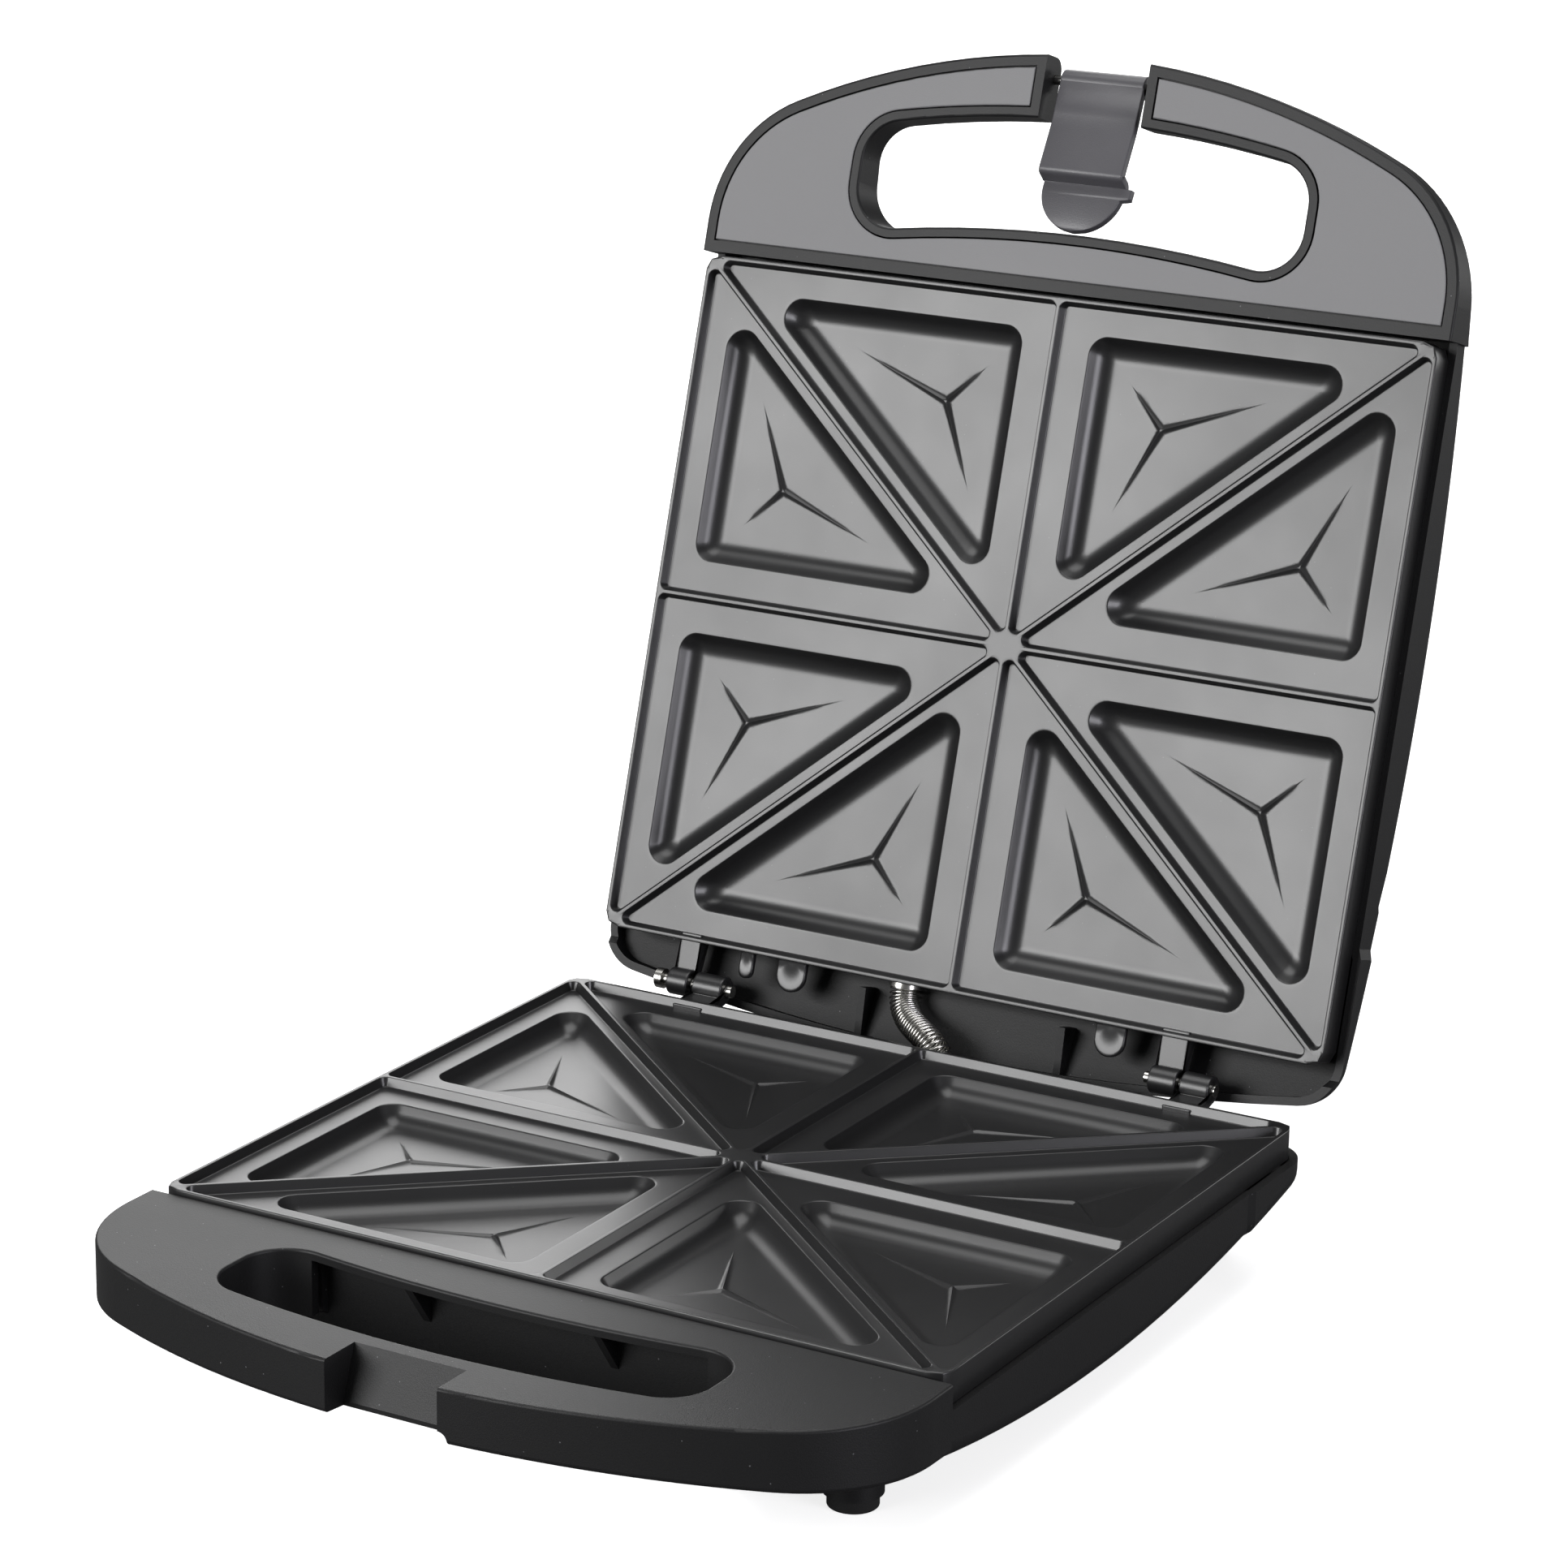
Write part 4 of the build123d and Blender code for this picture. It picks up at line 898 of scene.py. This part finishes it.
@dataclass
class Latch:
    """The swinging latch: a barrel, a strap with a soft crease, a step and a round tab."""

    width: float = 28.4
    thickness: float = 2.8
    barrel_radius: float = 3.6
    front: float = -1.7
    crease: float = -14.0
    crease_lean: float = -1.7
    step: float = -31.5
    step_depth: float = 4.8
    step_slant: float = 1.2
    reach: float = 47.0
    outer_bend: float = 0.7
    inner_bend: float = 0.3
    tab_inset: float = 0.6
    ear: float = 2.2
    ear_length: float = 3.6
    crease_bend: float = 40.0
    bend_steps: int = 8
    tab_points: int = 26
    closed_tilt: float = 75.5
    least_width: float = 0.02
    ring_points: int = 48
    soft: float = 0.45

    def centre_line(self) -> tuple[np.ndarray, np.ndarray]:
        """Middle of the sheet from the barrel to the tab's end, with its outward normals.

        The line is straight runs with rounded bends. Normals are the line's direction turned
        by a quarter.

        Returns:
            Points and normals in the plane of y and z, arrays of shape (n, 2).
        """
        half = self.thickness / 2
        strap = self.front + half
        hook = strap + self.step_depth
        ledge = self.step + half
        rise = self.step_slant / 2
        turns = [(strap + self.crease_lean, -1.0), (strap, self.crease), (strap, ledge + rise)]
        turns += [(hook, ledge - rise), (hook, -self.reach)]
        bends = [self.crease_bend, self.outer_bend, self.inner_bend + half]
        line = rounded_line(turns, bends, self.bend_steps)
        line = np.vstack([line[:-1], np.linspace(line[-2], line[-1], self.tab_points)[1:]])
        gap = np.linalg.norm(np.diff(line, axis=0), axis=1)
        line = np.vstack([line[:1], line[1:][gap > 1e-6]])
        slope = np.gradient(line, axis=0)
        slope /= np.linalg.norm(slope, axis=1, keepdims=True)
        return line, np.stack([slope[:, 1], -slope[:, 0]], -1)

    def half_widths(self, line: np.ndarray) -> tuple[np.ndarray, np.ndarray]:
        """Half widths to the left and right: full on the strap, round on the tab.

        Args:
            line: The centre line.

        Returns:
            Two arrays of shape (n).
        """
        z = line[:, 1]
        radius = self.width / 2 - self.tab_inset
        below = np.clip(-self.reach + radius - z, 0, radius)
        tab = np.sqrt(np.maximum(radius**2 - below**2, 0.01))
        on_tab = z < self.step
        left = np.where(on_tab, tab, self.width / 2)
        has_ear = on_tab & (z > self.step - self.ear_length)
        return left, np.where(has_ear, self.width / 2 + self.ear, left)

    def sheet(self) -> np.ndarray:
        """The bent sheet: a rounded rectangle carried along the centre line.

        Returns:
            Array of shape (stations, points, 3) in the latch's own frame.
        """
        line, normal = self.centre_line()
        left, right = self.half_widths(line)
        turn = np.linspace(0, QUARTER, 4)
        quarter = np.stack([np.cos(turn), np.sin(turn)], -1) * self.soft
        side = np.repeat([1, -1, -1, 1], 4)
        face = np.repeat([1, 1, -1, -1], 4)
        swing = np.concatenate([quarter, quarter[::-1], quarter, quarter[::-1]])
        half_width = np.where(side[None] > 0, right[:, None], left[:, None])
        wide = np.maximum(half_width - self.soft, self.least_width)
        across = side * (wide + swing[:, 0])
        deep = face * (self.thickness / 2 - self.soft + swing[:, 1])
        place = line[:, None] + normal[:, None] * deep[None, :, None]
        grid = np.stack([across, place[..., 0], place[..., 1]], -1)
        caps = [np.broadcast_to(end.mean(1), end.shape) for end in (grid[:1], grid[-1:])]
        return np.concatenate([caps[0], grid, caps[1]])

    def barrel(self) -> np.ndarray:
        """The barrel round the pin: a rounded cylinder along x.

        Returns:
            Array of shape (rings, points, 3) in the latch's own frame.
        """
        bend = np.linspace(0, QUARTER, 5)
        shrink = self.soft * (1 - np.sin(bend))
        inward = self.soft * (1 - np.cos(bend))
        end = self.width / 2
        x = np.concatenate([[-end], -end + inward, end - inward[::-1], [end]])
        whole = [self.barrel_radius]
        radius = self.barrel_radius - np.concatenate([whole, shrink, shrink[::-1], whole])
        turn = np.linspace(0, 2 * math.pi, self.ring_points, endpoint=False)
        ring = radius[:, None, None] * np.stack([np.cos(turn), np.sin(turn)], -1)
        return np.dstack([np.repeat(x[:, None], len(turn), 1), ring])

    def place(self, points: np.ndarray) -> np.ndarray:
        """Turn points about the latch's pin to its rest and carry them to the row frame.

        Args:
            points: Array of shape (..., 3) in millimetres.

        Returns:
            The points in the row frame, in metres.
        """
        tilt = math.radians(self.closed_tilt) - HINGE.open_angle
        x, y, z = np.moveaxis(points, -1, 0)
        cos, sin = math.cos(tilt), math.sin(tilt)
        turned = np.stack([x, y * cos - z * sin, y * sin + z * cos], -1) * MM
        return turned + np.array(joint_named("latch_pivot")["pos_m"])

    def build(self) -> None:
        """Make the latch."""
        patches = [Patch(self.place(grid)) for grid in (self.sheet(), self.barrel())]
        dress(build_mesh("latch_body", patches), "latch", "latch_plastic", "latch")


# --- Finger wall ------------------------------------------------------------------------------


@dataclass
class FingerWallLip:
    """Lip that carries the wall behind the base's finger hole deeper, so no floor shows."""

    half_width: float = 74.5
    front: float = -115.3
    rear: float = -113.1
    top: float = -22.5
    bottom: float = -28.5
    soft: float = 0.4

    def build(self) -> None:
        """Make the lip: a rounded rectangle, drawn in at both ends, carried along x."""
        bend = np.linspace(0, QUARTER, 4)
        quarter = np.stack([np.cos(bend), np.sin(bend)], -1)
        signs = np.repeat([[1, 1], [-1, 1], [-1, -1], [1, -1]], len(bend), 0)
        way = np.concatenate([quarter, quarter[::-1], quarter, quarter[::-1]]) * signs
        half = np.array([self.rear - self.front, self.top - self.bottom]) / 2
        core = signs * (half - self.soft)
        middle = np.array([self.rear + self.front, self.top + self.bottom]) / 2
        ends = np.concatenate([[0], self.soft * np.sin(bend)])
        full = np.concatenate([[0], np.ones(len(bend))])
        inward = np.concatenate([[0], self.soft * (1 - np.cos(bend))])
        ring = full[:, None, None] * core + ends[:, None, None] * way
        x = np.concatenate([inward - self.half_width, self.half_width - inward[::-1]])
        place = np.concatenate([ring, ring[::-1]]) + middle
        grid = np.dstack([np.repeat(x[:, None], place.shape[1], 1), place])
        patch = Patch(HINGE.place(grid, Half.BASE))
        dress(build_mesh("finger_wall_lip", [patch]), "base", "body_plastic")


# --- Spring sleeve ----------------------------------------------------------------------------


@dataclass
class SpringSleeve:
    """Close-wound steel sleeve that guides the wires from the base to the lid."""

    radius: float = 4.7
    wire: float = 0.85
    pitch: float = 1.4
    lid_point: tuple[float, float, float] = (19.0, 105.2, -8.0)
    lid_exit: tuple[float, float, float] = (19.0, 109.6, -8.0)
    base_exit: tuple[float, float, float] = (3.0, 114.5, -10.0)
    base_point: tuple[float, float, float] = (3.0, 114.5, -20.0)
    slack: float = 15.0
    curve_points: int = 200
    length_points: int = 400
    turn_points: int = 22
    wire_points: int = 8

    def centre_line(self, share: np.ndarray) -> tuple[np.ndarray, np.ndarray]:
        """Points and directions of the sleeve's middle, evenly spaced along it.

        The line is straight out of the lid, then a cubic through both exits, then straight
        into the base.

        Args:
            share: Shares of the whole length, array of shape (n).

        Returns:
            Points and unit directions, arrays of shape (n, 3).
        """
        start, leave = HINGE.place([self.lid_point, self.lid_exit], Half.LID) / MM
        arrive, end = HINGE.place([self.base_exit, self.base_point], Half.BASE) / MM
        near = leave + (leave - start) / np.linalg.norm(leave - start) * self.slack
        far = arrive - (end - arrive) / np.linalg.norm(end - arrive) * self.slack
        t = np.linspace(0, 1, self.curve_points)[:, None]
        curve = leave * (1 - t) ** 3 + 3 * near * t * (1 - t) ** 2
        curve = curve + 3 * far * t**2 * (1 - t) + arrive * t**3
        line = np.vstack([start, curve, end])
        along = np.concatenate([[0], np.cumsum(np.linalg.norm(np.diff(line, axis=0), axis=1))])
        travel = share * along[-1]
        points = np.stack([np.interp(travel, along, line[:, axis]) for axis in range(3)], -1)
        direction = np.gradient(points, axis=0)
        return points, direction / np.linalg.norm(direction, axis=1, keepdims=True)

    def build(self) -> None:
        """Make the wire: a small circle carried along a helix round the middle line."""
        rough, _ = self.centre_line(np.linspace(0, 1, self.length_points))
        length = np.linalg.norm(np.diff(rough, axis=0), axis=1).sum()
        turns = round(length / self.pitch)
        share = np.linspace(0, 1, turns * self.turn_points + 1)
        middle, along = self.centre_line(share)
        side = np.array([1.0, 0, 0]) - along * along[:, :1]
        side /= np.linalg.norm(side, axis=1, keepdims=True)
        up = np.cross(along, side)
        angle = (2 * math.pi * turns * share)[:, None]
        out = side * np.cos(angle) + up * np.sin(angle)
        helix = middle + out * (self.radius - self.wire / 2)
        forward = np.gradient(helix, axis=0)
        forward /= np.linalg.norm(forward, axis=1, keepdims=True)
        over = np.cross(forward, out)
        ring = np.linspace(0, 2 * math.pi, self.wire_points, endpoint=False)
        cos, sin = np.cos(ring)[None, :, None], np.sin(ring)[None, :, None]
        circle = out[:, None] * cos + over[:, None] * sin
        tube = helix[:, None] + circle * self.wire / 2
        first, last = (end[:, None].repeat(self.wire_points, 1) for end in (helix[:1], helix[-1:]))
        piece = build_mesh("spring_wire", [Patch(np.concatenate([first, tube, last]) * MM)])
        piece.data.materials.append(FINISHES["steel"].material())
        start = HINGE.place([self.lid_exit], Half.LID)[0]
        end = HINGE.place([self.base_exit], Half.BASE)[0]
        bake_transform(piece)
        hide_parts("spring_sleeve")
        log.info("%s: %d faces", piece.name, len(piece.data.polygons))


# --- Stage ----------------------------------------------------------------------------------


@dataclass(frozen=True)
class SoftBox:
    """A soft rectangular light."""

    name: str
    place: tuple[float, float, float]
    aim: tuple[float, float, float]
    size: tuple[float, float]
    power: float
    tint: tuple[float, float, float] = (1.0, 1.0, 1.0)

    def build(self) -> None:
        """Place the light so that it faces its aim."""
        data = bpy.data.lights.new(self.name, "AREA")
        data.shape = "RECTANGLE"
        data.size, data.size_y = self.size
        data.energy = self.power
        data.color = self.tint
        lamp = bpy.data.objects.new(self.name, data)
        turn = (Vector(self.place) - Vector(self.aim)).to_track_quat("Z", "Y")
        lamp.matrix_world = Matrix.Translation(self.place) @ turn.to_matrix().to_4x4()
        bpy.context.scene.collection.objects.link(lamp)


@dataclass(frozen=True)
class Studio:
    """Camera, pale floor and soft lights."""

    azimuth: float = math.radians(29.959)
    elevation: float = math.radians(16.680)
    roll: float = math.radians(0.843)
    position: tuple[float, float, float] = (0.6699, -1.1405, 0.5475)
    focal_pixels: float = 6070.67
    frame_pixels: float = 1932.0
    sensor: float = 36.0
    sky: float = 0.13
    floor_shade: float = 0.9
    floor_bounce: float = 0.12
    floor_glow: float = 0.75
    floor_half: float = 20.0
    floor_roughness: float = 0.8
    view_limit: float = 60.0
    boxes: tuple[SoftBox, ...] = (
        SoftBox("front_box", (-1.05, -1.95, 0.80), (0.0, 0.15, 0.17), (1.4, 1.0), 42),
        SoftBox("top_box", (-0.2, 0.1, 2.3), (0.0, 0.0, 0.0), (1.8, 1.8), 26),
        SoftBox("rear_left_box", (-1.6, 2.0, 0.85), (0.0, 0.0, 0.05), (1.5, 1.1), 18),
        SoftBox("back_box", (-0.7, 1.9, 1.9), (0.0, 0.1, 0.15), (1.0, 1.0), 9),
        SoftBox("right_box", (2.1, -0.45, 0.35), (0.0, 0.05, 0.15), (0.9, 1.0), 23, (0.94, 0.93, 1.0)),
        SoftBox("rear_right_box", (1.3, 2.0, 0.45), (0.0, 0.1, 0.15), (0.9, 0.7), 8),
    )

    def camera(self) -> None:
        """Set up the camera at the photograph's angle, by its back, right and up axes."""
        data = bpy.data.cameras.new("camera")
        data.sensor_width = self.sensor
        data.lens = self.focal_pixels / self.frame_pixels * self.sensor
        data.clip_end = self.view_limit
        low = math.cos(self.elevation)
        back = np.array(
            [math.sin(self.azimuth) * low, -math.cos(self.azimuth) * low, math.sin(self.elevation)]
        )
        level = np.array([math.cos(self.azimuth), math.sin(self.azimuth), 0])
        right = math.cos(self.roll) * level + math.sin(self.roll) * np.cross(back, level)
        matrix = np.eye(4)
        matrix[:3] = np.stack([right, np.cross(back, right), back, self.position], -1)
        camera = bpy.data.objects.new("camera", data)
        camera.matrix_world = Matrix(matrix.tolist())
        bpy.context.scene.collection.objects.link(camera)
        bpy.context.scene.camera = camera

    def floor(self) -> None:
        """Lay the pale floor."""
        mesh = bpy.data.meshes.new("floor")
        signs = [(-1, -1), (1, -1), (1, 1), (-1, 1)]
        corners = [(x * self.floor_half, y * self.floor_half, 0) for x, y in signs]
        mesh.from_pydata(corners, [], [(0, 1, 2, 3)])
        floor = bpy.data.objects.new("floor", mesh)
        bpy.context.scene.collection.objects.link(floor)
        material = bpy.data.materials.new("pale_floor")
        material.use_nodes = True
        tree = NodeTree(material.node_tree)
        shader = material.node_tree.nodes["Principled BSDF"]
        seen = tree.add("ShaderNodeLightPath").outputs["Is Camera Ray"]
        shade, bounce = self.floor_shade, self.floor_bounce
        colour = tree.add(
            "ShaderNodeMix",
            {0: seen, 6: (bounce, bounce, bounce, 1), 7: (shade, shade, shade, 1)},
            data_type="RGBA",
        )
        glow = tree.add("ShaderNodeMath", {0: seen, 1: self.floor_glow}, operation="MULTIPLY")
        tree.tree.links.new(colour.outputs[2], shader.inputs["Base Color"])
        tree.tree.links.new(glow.outputs[0], shader.inputs["Emission Strength"])
        shader.inputs["Emission Color"].default_value = (1, 1, 1, 1)
        shader.inputs["Roughness"].default_value = self.floor_roughness
        floor.data.materials.append(material)

    def build(self) -> None:
        """Make the whole stage."""
        bpy.context.scene.view_settings.view_transform = "Standard"
        self.camera()
        world = bpy.data.worlds.new("studio")
        bpy.context.scene.world = world
        world.use_nodes = True
        tree = NodeTree(world.node_tree)
        background = world.node_tree.nodes["Background"]
        background.inputs["Color"].default_value = (1, 1, 1, 1)
        seen = tree.add("ShaderNodeLightPath").outputs["Is Camera Ray"]
        strength = tree.add("ShaderNodeMapRange", {"Value": seen, "To Min": self.sky, "To Max": 1.0})
        tree.tree.links.new(strength.outputs[0], background.inputs["Strength"])
        for box in self.boxes:
            box.build()
        self.floor()


def main() -> None:
    """Dress the toaster and report each piece."""
    logging.basicConfig(level=logging.INFO, format="%(name)s %(message)s")
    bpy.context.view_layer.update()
    Studio().build()
    FramePieces().build()
    lower = CookingPlate(Half.BASE, knuckles=((-87.4, -77.0), (82.6, 92.0)))
    lower.build("lower_plate_metal", "lower_plate")
    upper = CookingPlate(
        Half.LID,
        knuckles=((89.6, 97.0), (-81.0, -72.0)),
        tabs=((71.9, 4.8, 116.0), (55.6, 10.0, 117.5), (-55.6, 10.0, 117.5)),
    )
    upper.build("upper_plate_metal", "upper_plate")
    Latch().build()
    FingerWallLip().build()
    SpringSleeve().build()


if __name__ == "__main__":
    main()
